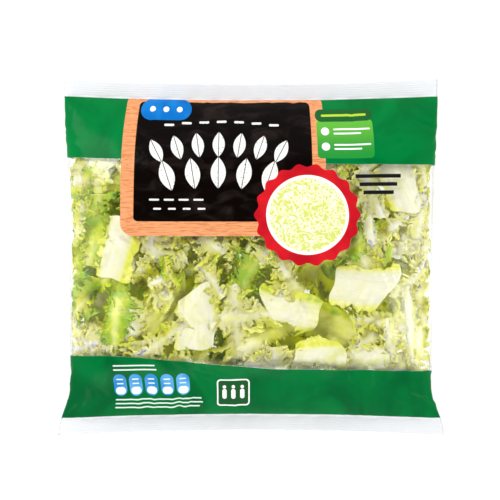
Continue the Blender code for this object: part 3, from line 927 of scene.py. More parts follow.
CUTS = {
    LeafKind.RIB: Cut(5, (0.046, 0.058), (0.58, 0.70), 0.80, 0.95, 0.05, 0.25, 0.25, 2.0, 0.0075),
    LeafKind.LEAF: Cut(8, (0.066, 0.080), (0.60, 0.72), 0.35, 0.30, 0.65, 0.78, 0.42, 4.0, 0.0095),
    LeafKind.TUFT: Cut(8, (0.050, 0.060), (0.84, 0.98), 0.30, 0.70, 0.40, 0.82, 0.48, 4.0, 0.0100),
    LeafKind.STRIP: Cut(7, (0.066, 0.080), (0.26, 0.32), 0.60, 0.45, 0.40, 0.75, 0.45, 3.5, 0.0080),
    LeafKind.SHRED: Cut(4, (0.022, 0.052), (0.42, 0.95), 0.50, 0.60, 0.45, 0.80, 0.45, 2.5, 0.0070),
}
FRINGES = {
    LeafKind.RIB: Fringe(3, 3, 2, 6, 0.80, 0.66, 0.12, 0.0026, 0.05, 1.60, 0.35, 0.7, 0.35, 0.30, 0.20),
    LeafKind.LEAF: Fringe(3, 8, 2, 2, 0.46, 0.25, 0.70, 0.0022, 0.28, 1.30, 0.30, 2.6, 0.95, 0.65, 0.05),
    LeafKind.TUFT: Fringe(3, 9, 2, 2, 0.30, 0.17, 0.60, 0.0016, 0.45, 1.20, 0.30, 2.3, 0.60, 0.65, 0.05),
    LeafKind.STRIP: Fringe(3, 7, 2, 2, 0.52, 0.36, 0.60, 0.0020, 0.25, 1.40, 0.30, 2.4, 0.80, 0.60, 0.05),
    LeafKind.SHRED: Fringe(2.75, 7, 1, 1, 0.28, 0.13, 0.50, 0.0012, 0.45, 1.25, 0.35, 2.3, 0.70, 0.65, 0.05),
}
POINTS_PER_FINGER = 4


@dataclass(frozen=True)
class Piece:
    """One cut piece: where its middle is, how it is turned and bent, and how green it is."""

    name: str
    kind: LeafKind
    x: float
    y: float
    turn: float
    bend: float
    length: float
    seed: int
    green: float


# From the front down: kind, x, y, turn, bend, length, in millimetres and degrees, and greenness.
FRONT_PIECES = (
    ("rib", -86, 4, 76, 10, 40, 0.05), ("rib", -36, -40, -88, 8, 40, 0.05),
    ("rib", 72, -20, -4, 12, 40, 0.05), ("rib", 44, -64, 2, -6, 34, 0.05),
    ("leaf", -88, -38, -94, 12, 50, 0.92), ("rib", 26, -34, -14, 12, 38, 0.15),
    ("rib", 99, 47, -62, 10, 40, 0.05), ("strip", 104, -46, -84, 14, 56, 0.20),
    ("rib", -57, -34, 28, 14, 38, 0.10), ("strip", 78, 16, -86, 10, 52, 0.15),
    ("rib", 74, -69, 10, 8, 32, 0.10), ("tuft", -2, -14, 60, 10, 42, 0.95),
    ("strip", 92, -20, -74, -12, 50, 0.20), ("rib", -105, -4, 24, 8, 34, 0.10),
    ("leaf", 10, -50, 24, -14, 54, 0.30), ("strip", -30, -6, 24, 30, 46, 0.30),
    ("tuft", -20, -62, -100, 10, 42, 0.85), ("rib", 52, -44, -20, 8, 42, 0.08),
    ("leaf", 104, 4, -72, 12, 60, 0.40), ("tuft", 74, -48, -96, 8, 44, 0.66),
    ("leaf", 68, 0, 176, 12, 56, 0.80), ("leaf", -62, 2, 168, 14, 60, 0.45),
    ("tuft", -106, -58, 140, 8, 46, 0.25), ("leaf", -66, -66, 12, 10, 58, 0.40),
    ("tuft", 20, -4, -20, 10, 50, 0.50), ("leaf", -94, 54, 66, -12, 70, 0.74),
    ("leaf", 60, 46, 150, 12, 66, 0.68), ("leaf", -36, 44, 16, 12, 72, 0.62),
    ("tuft", 8, 40, 84, 10, 58, 0.40), ("leaf", 96, 80, 160, 12, 62, 0.55),
    ("leaf", 14, 84, 4, -10, 74, 0.45), ("leaf", -62, 86, 172, 10, 74, 0.45),
    ("leaf", 2, -88, 4, 10, 76, 0.40), ("leaf", 84, -90, 174, 8, 72, 0.40),
    ("leaf", -76, -90, 170, 10, 76, 0.40),
)
BACK_KINDS = ("leaf", "rib", "tuft", "leaf", "strip", "leaf", "rib", "leaf", "tuft")
FIRST_SEED = 2603


@dataclass(frozen=True)
class Filling:
    """How the pieces are laid in the bag: the same rules and draws as their solids."""

    form: BagForm
    back_rows: int = 4
    back_columns: int = 5
    pitch_x: float = 0.046
    pitch_y: float = 0.048
    jitter: float = 0.007
    growth: float = 1.12
    bend: float = 0.3

    def front(self) -> list[Piece]:
        """The pieces from the front down."""
        made = []
        for k, (kind, x, y, turn, bend, length, green) in enumerate(FRONT_PIECES):
            turned = (math.radians(turn), math.radians(bend))
            name = f"front_{kind}_{k + 1:02d}"
            seed = FIRST_SEED + k
            made.append(Piece(name, LeafKind(kind), x * MM, y * MM, *turned, length * MM, seed, green))
        return made

    def back(self) -> list[Piece]:
        """The pieces from the back up."""
        draw = np.random.default_rng(FIRST_SEED)
        made = []
        for k in range(self.back_rows * self.back_columns):
            row, column = divmod(k * 7 % (self.back_rows * self.back_columns), self.back_columns)
            shift = draw.uniform(-self.jitter, self.jitter, 2)
            x = (column - (self.back_columns - 1) / 2) * self.pitch_x + shift[0]
            y = (row - (self.back_rows - 1) / 2) * self.pitch_y + shift[1]
            kind = LeafKind(BACK_KINDS[k % len(BACK_KINDS)])
            length = draw.uniform(*CUTS[kind].length) * self.growth
            turn, bend = draw.uniform(0, FULL_TURN), draw.uniform(-self.bend, self.bend)
            green = 0.08 if kind is LeafKind.RIB else 0.3 + 0.3 * ((k * 5) % 7) / 6
            name = f"back_{kind.value}_{k + 1:02d}"
            seed = FIRST_SEED + len(FRONT_PIECES) + k
            made.append(Piece(name, kind, x, y, turn, bend, length, seed, green))
        return made


class Sheet:
    """The flat shape of one piece and where it lies in plan, the same as its solid's."""

    inner_line = 0.5
    end_point = 0.07
    end_round = 0.05
    tooth_lean = 0.035
    tooth_slip = 0.30
    tooth_range = (0.72, 1.14)
    draws = 64
    belly_power = 0.7
    side_room = 0.0045
    end_room = 0.0120
    soft_reach = 0.0220
    pressed_reach = 0.0060

    def __init__(self, piece: Piece, form: BagForm) -> None:
        """Draws what is random about the piece, in the order that its solid does."""
        self.piece = piece
        self.form = form
        self.cut = CUTS[piece.kind]
        draw = np.random.default_rng(piece.seed)
        self.width = piece.length * draw.uniform(*self.cut.width)
        self.phase = draw.uniform(0, FULL_TURN, 4)
        self.tooth = draw.uniform(*self.tooth_range, self.draws)
        self.slip = draw.uniform(-self.tooth_slip, self.tooth_slip, self.draws)
        self.shift = np.zeros(2)
        if piece.kind is LeafKind.SHRED:
            self.side_room, self.end_room, self.soft_reach = 0.0010, 0.0080, 0.0080
        x, y = self.turned(*self.coarse())
        limits = (form.waist / 2 - self.side_room, float(form.cavity_half(piece.y)) - self.end_room)
        self.shift = np.array([self.excess(values, most) for values, most in zip((x, y), limits)])

    def half(self, along: np.ndarray) -> np.ndarray:
        """Half the blade's width at a place from 0, the cut end, to 1, the tip."""
        cut = self.cut
        ends = cut.root + (cut.tip - cut.root) * along
        belly = cut.belly * np.sin(math.pi * np.clip(along, 0, 1)) ** self.belly_power
        return self.width / 2 * np.minimum(ends + belly, 1.0)

    def coarse_flat(self) -> np.ndarray:
        """The solid's points as (along, across)."""
        rows = self.cut.rows
        flat = [(r / rows, c) for r in range(rows + 1) for c in (-self.inner_line, 0.0, self.inner_line)]
        flat += [(j / (2 * rows), side) for side in (-1.0, 1.0) for j in range(2 * rows + 1)]
        return np.array(flat)

    def coarse(self) -> tuple[np.ndarray, np.ndarray]:
        """The solid's points as a share of the length and a distance across."""
        along, across = self.coarse_flat().T
        cut = self.cut
        edge = np.abs(across) == 1.0
        tip = edge & (np.round(along * 2 * cut.rows).astype(int) % 2 == 1)
        places = np.arange(len(along)) % self.draws
        reach = np.where(tip, 1.0, 1.0 - cut.tooth) * self.tooth[places]
        spread = np.where(edge, self.inner_line + (1.0 - self.inner_line) * reach, np.abs(across))
        lean = self.tooth_lean * cut.tooth + self.slip[places] / (2 * cut.rows)
        point = np.where((along == 1.0) & (across == 0.0), self.end_point, 0.0)
        u = along + np.where(tip, lean, 0.0) + point + self.end_round * (1 - spread**2) * (along - 0.5)
        return u, np.sign(across) * spread * self.half(along)

    def rim(self) -> np.ndarray:
        """The solid's outline in plan, in order."""
        rows = self.cut.rows
        count = 3 * (rows + 1)
        edge = 2 * rows + 1
        left = list(range(count, count + edge))
        right = list(range(count + edge, count + 2 * edge))
        order = right + [3 * rows + 2, 3 * rows + 1, 3 * rows] + left[::-1] + [0, 1, 2]
        x, y = self.plan(*self.coarse())
        return np.stack([x[order], y[order]], axis=1)

    def turned(self, u: np.ndarray, v: np.ndarray) -> tuple[np.ndarray, np.ndarray]:
        """Points bent, turned and moved to the piece's place.

        Args:
            u: Their share of the length.
            v: Their distance across.

        Returns:
            Their places in plan.
        """
        piece = self.piece
        x = (u - 0.5) * piece.length
        bend = piece.bend * (u - 0.5)
        x, v = x * np.cos(bend / 2) - v * np.sin(bend), x * np.sin(bend / 2) + v * np.cos(bend)
        c, s = math.cos(piece.turn), math.sin(piece.turn)
        return piece.x + x * c - v * s - self.shift[0], piece.y + x * s + v * c - self.shift[1]

    def excess(self, values: np.ndarray, most: float) -> float:
        """How far the whole piece has to move inwards, so that little of it is left to press in."""
        reach = most + self.pressed_reach
        return max(float(values.max()) - reach, 0.0) + min(float(values.min()) + reach, 0.0)

    def plan(self, u: np.ndarray, v: np.ndarray) -> tuple[np.ndarray, np.ndarray]:
        """Where points at a share of the length and a distance across lie inside the bag.

        Args:
            u: Their share of the length.
            v: Their distance across.

        Returns:
            Their places in plan.
        """
        def limit(value: np.ndarray, most: np.ndarray) -> np.ndarray:
            """Moves values softly below the most they may be."""
            start = most - self.soft_reach
            size = np.abs(value)
            over = np.maximum(size - start, 0.0)
            eased = self.soft_reach * np.tanh(over / self.soft_reach)
            return np.sign(value) * (np.minimum(size, start) + eased)

        x, y = self.turned(u, v)
        y = limit(y, self.form.cavity_half(y) - self.end_room)
        return limit(x, self.form.half_width(y) - self.side_room), y

    def lift(self, along: np.ndarray, across: np.ndarray) -> np.ndarray:
        """Where points lie between the bottom of the piece's own space, 0, and its top, 1.

        Args:
            along: Their share of the length.
            across: Their share of the half width.

        Returns:
            A height for each.
        """
        cut = self.cut
        side = np.where(across < 0, self.phase[0], self.phase[1])
        wave = np.sin(FULL_TURN * cut.waves * along + side)
        channel = 0.16 * np.cos(math.pi * np.clip(across, -1, 1))
        roll = 0.14 * np.sin(FULL_TURN * along + self.phase[2])
        ruffle = cut.ruffle * np.minimum(np.abs(across), 1.2) ** 1.5 * wave
        return np.clip(0.52 - channel + roll * np.maximum(1 - across**2, 0.0) + ruffle, 0.0, 1.0)


class Stack:
    """A grid over the bag that shares its height out among the pieces lying over each place."""

    step = 0.0015
    margin = 0.0045
    blur = 0.0075
    clear_of_film = 0.0016
    most_loft = 1.6
    least_need = 0.000001
    deep = 0.016
    near = 0.006
    tight = 0.0022
    tuck = 0.0030
    hole = 0.2500
    fold = 0.0030
    closed_share = 0.60
    least_room = 0.0025

    def __init__(self, form: BagForm) -> None:
        """Lays the grid over the bag."""
        reach_x, reach_y = form.waist / 2 + 0.01, form.length / 2
        self.xs = np.arange(-reach_x, reach_x, self.step)
        self.ys = np.arange(-reach_y, reach_y, self.step)
        self.x, self.y = np.meshgrid(self.xs, self.ys, indexing="ij")
        floor, ceiling = form.inner_heights(self.x, self.y)
        self.floor, self.ceiling = floor + self.clear_of_film, ceiling - self.clear_of_film
        self.top, self.bottom = self.floor.copy(), self.ceiling.copy()
        self.kept = np.zeros(self.x.shape)
        self.outside = (np.abs(self.x) > form.half_width(self.y) - self.fold).astype(float)

    def fill(self, x: np.ndarray, y: np.ndarray, z: np.ndarray, keep: bool) -> None:
        """Notes how high and how low the bag is filled.

        Args:
            x: Where the points that fill it lie.
            y: The same.
            z: The same.
            keep: Whether they are to stay in sight.
        """
        i = np.clip(np.round((x - self.xs[0]) / self.step).astype(int), 0, len(self.xs) - 1)
        j = np.clip(np.round((y - self.ys[0]) / self.step).astype(int), 0, len(self.ys) - 1)
        np.maximum.at(self.top, (i, j), z)
        np.minimum.at(self.bottom, (i, j), z)
        if keep:
            self.kept[i, j] = 1.0

    def surface(self, face: int) -> np.ndarray:
        """The filling's own surface on the front, 1, or the back, -1, without its small holes.

        Args:
            face: 1 on the front and -1 on the back.

        Returns:
            A field over the grid.
        """
        if face > 0:
            return self.spread(self.top, self.step, True)
        return -self.spread(-self.bottom, self.step, True)

    def hollow(self, face: int) -> np.ndarray:
        """How far the film is from the filling, over an area about as large as a small piece.

        Args:
            face: 1 on the front and -1 on the back.

        Returns:
            A field over the grid.
        """
        film = self.ceiling if face > 0 else self.floor
        gap = np.maximum((film - self.surface(face)) * face, 0.0) * (1.0 - self.kept)
        filled = (self.top > self.bottom - self.least_need).astype(float)
        closed = self.spread(np.maximum(filled, self.outside), self.step, False) > self.closed_share
        holes = self.spread(1.0 - closed, self.step, False)
        return self.spread(np.minimum(gap, self.deep), self.near, False) + self.hole * holes

    def room_over(self, face: int, most: float) -> tuple[np.ndarray, np.ndarray]:
        """The space on the filling for one small piece more, which slips under what touches the film.

        Args:
            face: 1 on the front and -1 on the back.
            most: The most height that it may take up.

        Returns:
            The fields of its lowest and its highest place.
        """
        film = self.ceiling if face > 0 else self.floor
        surface = self.spread(self.surface(face), self.step * 2, False)
        gap = (film - surface) * face
        kept = self.spread(self.spread(self.kept, self.step, True), self.step, False)
        tucked = np.maximum(smooth(1.0 - gap / self.tight), kept)
        near = surface + face * (0.0004 - tucked * (self.tuck + 0.0004))
        far = near + face * np.clip(gap, self.least_room, most)
        return (near, np.minimum(far, self.ceiling)) if face > 0 else (np.maximum(far, self.floor), near)

    def spread(self, mask: np.ndarray, reach: float, take_most: bool) -> np.ndarray:
        """The mask widened, or blurred, by this reach along both axes.

        Args:
            mask: The mask.
            reach: How far.
            take_most: Whether to widen it.

        Returns:
            The new mask.
        """
        cells = max(1, int(round(reach / self.step)))
        for axis in (0, 1):
            shifts = [np.roll(mask, k, axis) for k in range(-cells, cells + 1)]
            mask = np.max(shifts, axis=0) if take_most else np.mean(shifts, axis=0)
        return mask

    def cover(self, rim: np.ndarray) -> np.ndarray:
        """1 over the outline and a margin round it, falling softly to 0."""
        inside = np.zeros(self.x.shape, bool)
        for (x0, y0), (x1, y1) in zip(rim, np.roll(rim, -1, axis=0)):
            if y0 != y1:
                crossed = (y0 > self.y) != (y1 > self.y)
                inside ^= crossed & (self.x < (x1 - x0) * (self.y - y0) / (y1 - y0) + x0)
        wide = self.spread(inside.astype(float), self.margin + self.blur, True)
        return np.clip(self.spread(wide, self.blur, False), 0.0, 1.0)

    def at(self, values: np.ndarray, x: np.ndarray, y: np.ndarray) -> np.ndarray:
        """The field read between its grid points.

        Args:
            values: The field.
            x: Places in plan.
            y: The same.

        Returns:
            Its value at each place.
        """
        u = np.clip((x - self.xs[0]) / self.step, 0, len(self.xs) - 1.001)
        v = np.clip((y - self.ys[0]) / self.step, 0, len(self.ys) - 1.001)
        i, j = u.astype(int), v.astype(int)
        p, q = u - i, v - j
        return (values[i, j] * (1 - p) * (1 - q) + values[i + 1, j] * p * (1 - q)
                + values[i, j + 1] * (1 - p) * q + values[i + 1, j + 1] * p * q)

    def share(self, front: Sequence[Sheet], back: Sequence[Sheet]) -> dict[str, Pair]:
        """Shares the height out.

        Args:
            front: The sheets from the front down.
            back: The sheets from the back up.

        Returns:
            For each piece's name, the fields of its lowest and its highest place.
        """
        fills = [sheet.cut.band * self.cover(sheet.rim()) for sheet in list(front) + list(back)]
        need = np.maximum(np.sum(fills, axis=0), self.least_need)
        loft = np.minimum(self.most_loft, np.maximum(self.ceiling - self.floor, 0.0) / need)
        spaces = {}
        used = np.zeros(need.shape)
        for sheet, fill in zip(front, fills):
            high = self.ceiling - used * loft
            spaces[sheet.piece.name] = (high - sheet.cut.band * loft, high)
            used = used + fill
        used = np.zeros(need.shape)
        for sheet, fill in zip(back, fills[len(front):]):
            low = self.floor + used * loft
            spaces[sheet.piece.name] = (low, low + sheet.cut.band * loft)
            used = used + fill
        return spaces


@dataclass(frozen=True)
class LeafFinish:
    """Moist leaf: white along the rib, through yellow-green to green at the tips of the fringe."""

    name: str
    rib: Colour = tone(240, 241, 212)
    vein: Colour = tone(236, 234, 138)
    pale: Colour = tone(243, 241, 128)
    fresh: Colour = tone(222, 226, 20)
    green: Colour = tone(146, 190, 8)
    deep: Colour = tone(44, 98, 8)
    roughness: float = 0.34
    soft: float = 0.75

    def material(self) -> bpy.types.Material:
        """Makes the finish. It reads the attribute tint: rib, greenness and a number for each piece."""
        made = bpy.data.materials.new(self.name)
        made.use_nodes = True
        tree = made.node_tree
        graph = Graph(tree)
        surface = tree.nodes["Principled BSDF"]
        tint = graph.add("ShaderNodeAttribute", attribute_name="tint").outputs["Color"]
        split = graph.add("ShaderNodeSeparateColor", {0: tint})
        rib, greenness, chance = split.outputs[0], split.outputs[1], split.outputs[2]
        flat = graph.add("ShaderNodeUVMap", uv_map="sheet").outputs["UV"]
        own = graph.add("ShaderNodeCombineXYZ", {2: graph.math("MULTIPLY", chance, 90.0)}).outputs[0]
        place = graph.vector("ADD", flat, own)
        grain = graph.noise(graph.vector("MULTIPLY", place, (0.035, 0.42, 1.0)), 1.0, 5.0, 0.4)
        mottle = graph.noise(place, 0.13, 4.0, 0.8)
        fine = graph.noise(place, 0.9, 3.0, 0.4)
        uneven = graph.math("MULTIPLY", graph.math("SUBTRACT", mottle, 0.5), 0.60)
        level = graph.math("ADD", greenness, uneven)
        colour = graph.mix(graph.step(level, 0.06, 0.34), self.pale, self.fresh)
        colour = graph.mix(graph.step(level, 0.38, 0.68), colour, self.green)
        colour = graph.mix(graph.step(level, 0.72, 1.00), colour, self.deep)
        cloud = graph.step(graph.noise(place, 0.06, 3.0, 1.0), 0.40, 0.72, 0.0, 0.85)
        stripes = graph.step(grain, 0.40, 0.80, 0.0, 0.55)
        white = graph.mix(graph.math("MAXIMUM", stripes, cloud), self.rib, self.vein)
        colour = graph.mix(rib, colour, white)
        height = graph.math("ADD", graph.math("MULTIPLY", grain, graph.blend(rib, 0.5, 1.0)),
                            graph.math("MULTIPLY", fine, graph.blend(rib, 0.8, 0.15)))
        bump = graph.add("ShaderNodeBump", {"Strength": 0.5, "Distance": 0.0005, "Height": height}).outputs[0]
        tree.links.new(colour, surface.inputs["Base Color"])
        rough = graph.step(mottle, 0.3, 0.7, self.roughness - 0.06, self.roughness + 0.10)
        tree.links.new(rough, surface.inputs["Roughness"])
        tree.links.new(bump, surface.inputs["Normal"])
        surface.inputs["Specular IOR Level"].default_value = 0.35
        surface.inputs["Subsurface Weight"].default_value = self.soft
        surface.inputs["Subsurface Radius"].default_value = (0.0030, 0.0032, 0.0006)
        surface.inputs["Subsurface Scale"].default_value = 1.0
        return made


@dataclass(frozen=True)
class Area:
    """A box in plan in which a small piece is laid, and how far it may be turned."""

    x: Span
    y: Span
    turn: Span


@dataclass
class CurlyPieces:
    """Every cut piece, each bent from a comb-shaped blank of its own sort."""

    form: BagForm
    thin: float = 0.00042
    tip_thin: float = 0.7
    clear: float = 0.0005
    finger_share: float = 0.74
    lean: float = 0.30
    meander: float = 0.0024
    shreds_in_front: int = 76
    shreds_by_band: int = 5
    by_band: Span = (-0.0755, -0.0690)
    band_span: float = 0.140
    band_turn: float = 0.4
    shreds_by_fold: int = 5
    by_fold: Span = (0.109, 0.116)
    fold_turn: float = 0.5
    shreds_behind: int = 34
    shred_room: float = 0.0090
    shred_bend: float = 0.9
    tries: int = 1200
    clear_part: Span = (-0.081, 0.067)
    clear_half_width: float = 0.1155
    outer: float = 0.0025
    inner: float = 0.0100
    paler: float = 0.12
    varied: float = 0.22
    slack: Span = (0.04, 0.34)
    each_length: Span = (0.45, 1.30)
    each_width: Span = (0.55, 1.50)
    by_turns: float = 0.16
    waving: float = 0.20
    own_seed: int = 5000
    shred_seed: int = 9000
    behind_seed: int = 500
    laying_seed: int = 77
    blanks: dict[LeafKind, bpy.types.Mesh] = field(default_factory=dict)
    finishes: dict[LeafKind, bpy.types.Material] = field(default_factory=dict)
    laid: dict[int, list[Piece]] = field(default_factory=dict)

    def counts(self, kind: LeafKind) -> tuple[int, int]:
        """How many points a blank has along it and across it."""
        fringe = FRINGES[kind]
        fingers = int(CUTS[kind].rows * fringe.fingers_per_row)
        across = 2 * (fringe.rib_rows + fringe.blade_rows + fringe.reach_rows) + 1
        return fingers * POINTS_PER_FINGER, across

    def blank(self, kind: LeafKind) -> bpy.types.Mesh:
        """A flat grid with the gaps between its fingers cut out, modelled once for each sort.

        Args:
            kind: The sort of piece.

        Returns:
            The blank's mesh.
        """
        if kind in self.blanks:
            return self.blanks[kind]
        columns, rows = self.counts(kind)
        deselect()
        bpy.ops.mesh.primitive_grid_add(x_subdivisions=columns - 1, y_subdivisions=rows - 1, size=1.0)
        made = bpy.context.object
        column, row = np.meshgrid(np.arange(columns - 1), np.arange(rows - 1))
        reach = FRINGES[kind].reach_rows
        gap = column % POINTS_PER_FINGER == POINTS_PER_FINGER - 1
        gap &= (row < reach) | (row >= rows - 1 - reach)
        gap &= kind is not LeafKind.RIB
        mesh = made.data
        bpy.ops.object.mode_set(mode="EDIT")
        bpy.ops.mesh.select_mode(type="FACE")
        bpy.ops.mesh.select_all(action="DESELECT")
        bpy.ops.object.mode_set(mode="OBJECT")
        mesh.polygons.foreach_set("select", gap.reshape(-1))
        bpy.ops.object.mode_set(mode="EDIT")
        bpy.ops.mesh.delete(type="FACE")
        bpy.ops.object.mode_set(mode="OBJECT")
        if len(mesh.vertices) != columns * rows:
            raise RuntimeError("the blank lost points with its gaps")
        mesh.use_fake_user = True
        bpy.data.objects.remove(made)
        self.blanks[kind] = mesh
        return mesh

    def tips(self, sheet: Sheet, fingers: int, side: int, draw: np.random.Generator) -> Pair:
        """Where each finger on one side would end, were it to reach the solid's edge.

        Args:
            sheet: The piece's sheet.
            fingers: How many fingers that side has.
            side: -1 or 1.
            draw: The piece's own draws.

        Returns:
            The ends as a share of the length and a distance across.
        """
        u, v = sheet.coarse()
        edge = 2 * sheet.cut.rows + 1
        first = 3 * (sheet.cut.rows + 1) + (0 if side < 0 else edge)
        u, v = u[first: first + edge], v[first: first + edge]
        places = (np.arange(fingers) + 0.5) * (edge - 1) / fingers
        lower = np.minimum(places.astype(int), edge - 2)
        odd = lower % 2 == 1
        tip, notch = np.where(odd, lower, lower + 1), np.where(odd, lower + 1, lower)
        slack = draw.uniform(*self.slack, fingers)
        reach = (v[tip] * (1 - slack) + v[notch] * slack) * 0.98
        return u[tip] * (1 - slack) + u[notch] * slack, reach

    def vigour(self, fringe: Fringe, fingers: int, draw: np.random.Generator) -> np.ndarray:
        """How long each finger of one side is: long and short ones stand together in groups."""
        place = np.arange(fingers) / fingers
        first, second = draw.uniform(0, FULL_TURN, 2)
        group = 0.5 + 0.32 * np.sin(FULL_TURN * 1.2 * place + first)
        group = group + 0.18 * np.sin(FULL_TURN * 3.1 * place + second)
        each = draw.uniform(*self.each_length, fingers)
        return (fringe.shortest + (fringe.longest - fringe.shortest) * group) * each

    def flat(self, sheet: Sheet, draw: np.random.Generator) -> dict[str, np.ndarray]:
        """Lays the blank's points out flat.

        Args:
            sheet: The piece's sheet.
            draw: The piece's own draws.

        Returns:
            For each point: its share of the length u, distance across v, place along its
            finger t, how far out of the sheet it is tipped, out, a number for its finger,
            chance, how near it is to the vein down its finger's middle, vein, and to its
            finger's edge, rim, and odd, which is t with a sign that changes finger by finger.
        """
        kind = sheet.piece.kind
        fringe = FRINGES[kind]
        columns, rows = self.counts(kind)
        fingers = columns // POINTS_PER_FINGER
        length = sheet.piece.length
        column = np.arange(columns)
        finger = column // POINTS_PER_FINGER
        across_finger = (column % POINTS_PER_FINGER) / (POINTS_PER_FINGER - 1) - 0.5
        on_vein = np.clip(1.0 - 2.6 * np.abs(across_finger), 0.0, 1.0)
        base_u = (finger + 0.5 + across_finger * self.finger_share) / fingers
        if kind is LeafKind.RIB:
            base_u = np.linspace(0.0, 1.0, columns)
        keys = ("u", "v", "t", "out", "chance", "vein", "odd", "rim")
        made = {key: np.zeros((rows, columns)) for key in keys}
        middle_row = (rows - 1) // 2
        half = sheet.half(base_u)
        phases = draw.uniform(0, FULL_TURN, 4)
        rib = np.minimum(half * fringe.rib_share * (1 - fringe.rib_taper * base_u), half * fringe.base * 0.8)
        slants = draw.uniform(-fringe.slant, fringe.slant, 2)
        for side in (-1, 1):
            luck = draw.uniform(0, 1, fingers)
            wobble = 1 + 0.07 * np.sin(FULL_TURN * 1.3 * base_u + phases[side]) + 0.04 * np.sin(
                FULL_TURN * 3.7 * base_u + phases[side + 2])
            base = half * fringe.base * wobble
            for step in range(fringe.rib_rows + fringe.blade_rows + 1):
                row = middle_row + side * step
                if step <= fringe.rib_rows:
                    reach = rib * step / fringe.rib_rows
                else:
                    reach = rib + (base - rib) * (step - fringe.rib_rows) / fringe.blade_rows
                made["u"][row], made["v"][row], made["chance"][row] = base_u, side * reach, luck[finger]
                made["vein"][row] = on_vein * min(1.0, step / (fringe.rib_rows + fringe.blade_rows))
            if kind is LeafKind.RIB:
                self.hem(made, side, base_u, base, half, draw)
                continue
            first = np.arange(fingers) * POINTS_PER_FINGER + POINTS_PER_FINGER // 2
            start = np.stack([base_u[first] * length, side * base[first]], axis=1)
            end_u, end_v = self.tips(sheet, fingers, side, draw)
            span = np.stack([end_u * length, end_v], axis=1) - start
            angle = -side * self.lean + draw.normal(0.0, fringe.wander, fingers)
            span = self.turn(span, angle) * self.vigour(fringe, fingers, draw)[:, None]
            size = np.linalg.norm(span, axis=1)
            counter = -0.8 * angle - draw.normal(0.0, fringe.wander * 0.5, fingers)
            control = start + 0.5 * self.turn(span, counter)
            end = start + span
            hook = draw.uniform(-1.0, 1.0, fingers) * fringe.wander
            twist = draw.uniform(-fringe.curl, fringe.curl, fingers) + fringe.curl * 0.4 * np.sign(luck - 0.5)
            wide = np.minimum(self.finger_share * length / fingers, 0.9 * size + 0.0006)
            wide = wide * draw.uniform(*self.each_width, fingers)
            parity = (luck * 2).astype(int)
            square = np.stack([-span[:, 1], span[:, 0]], axis=1)
            for step in range(1, fringe.reach_rows + 1):
                at = step / fringe.reach_rows
                row = middle_row + side * (fringe.rib_rows + fringe.blade_rows + step)
                centre = (1 - at) ** 2 * start + 2 * at * (1 - at) * control + at**2 * end
                centre = centre + square * (hook * 0.45 * at**2.5)[:, None]
                course = 2 * (1 - at) * (control - start) + 2 * at * (end - control)
                course = course + square * (hook * 1.1 * at**1.5)[:, None]
                course /= np.maximum(np.linalg.norm(course, axis=1, keepdims=True), 1e-9)
                normal = np.stack([course[:, 1], -course[:, 0]], axis=1) * side
                swell = 1 + fringe.spread * math.sin(math.pi * min(at * 0.95, 1.0)) - 0.45 * at**2
                narrow = wide * swell * (1.0 if step < fringe.reach_rows else 0.30)
                notch = fringe.tooth * min(1.0, at * 3.0)
                low_out = (parity + step) % 2 == 0
                lower = narrow * (1 + notch * np.where(low_out, 0.45, -0.75))
                upper = narrow * (1 + notch * np.where(low_out, -0.75, 0.45))
                offset = np.where(across_finger < 0, lower[finger], upper[finger]) * across_finger
                tipped = twist[finger] * at * (0.6 + 0.4 * math.sin(5.0 * at + 1.0))
                spot = centre[finger] + normal[finger] * (offset * np.cos(tipped))[:, None]
                made["u"][row], made["v"][row] = spot[:, 0] / length, spot[:, 1]
                made["t"][row], made["out"][row] = at, offset * np.sin(tipped)
                made["chance"][row], made["vein"][row] = luck[finger], on_vein * (1 - at) ** 0.8
                made["odd"][row] = np.where(finger % 2 == 0, at, -at)
                # rim: how near the finger's edge and tip; tint makes these paler as a painted highlight.
                made["rim"][row] = np.maximum((2 * np.abs(across_finger)) ** 2 * min(1.0, 2 * at), at**6)
        share = made["v"] / np.maximum(half, 1e-6)
        u = made["u"]
        if kind is not LeafKind.RIB:
            course = draw.uniform(0.7, 1.2) * u + draw.uniform(0.0, 1.0)
            made["v"] += min(self.meander, 0.12 * sheet.width) * np.sin(FULL_TURN * course)
        made["u"] = u + share * (slants[0] * (1 - u) + slants[1] * u)
        if kind is LeafKind.RIB:
            waves = draw.uniform(0, FULL_TURN, 2)
            ends = (1 - u) * np.sin(2.4 * share + waves[0]) + u * np.sin(2.9 * share + waves[1])
            made["u"] += 0.045 * ends - 0.10 * (u - 0.5) * np.abs(share) ** 3
        return made

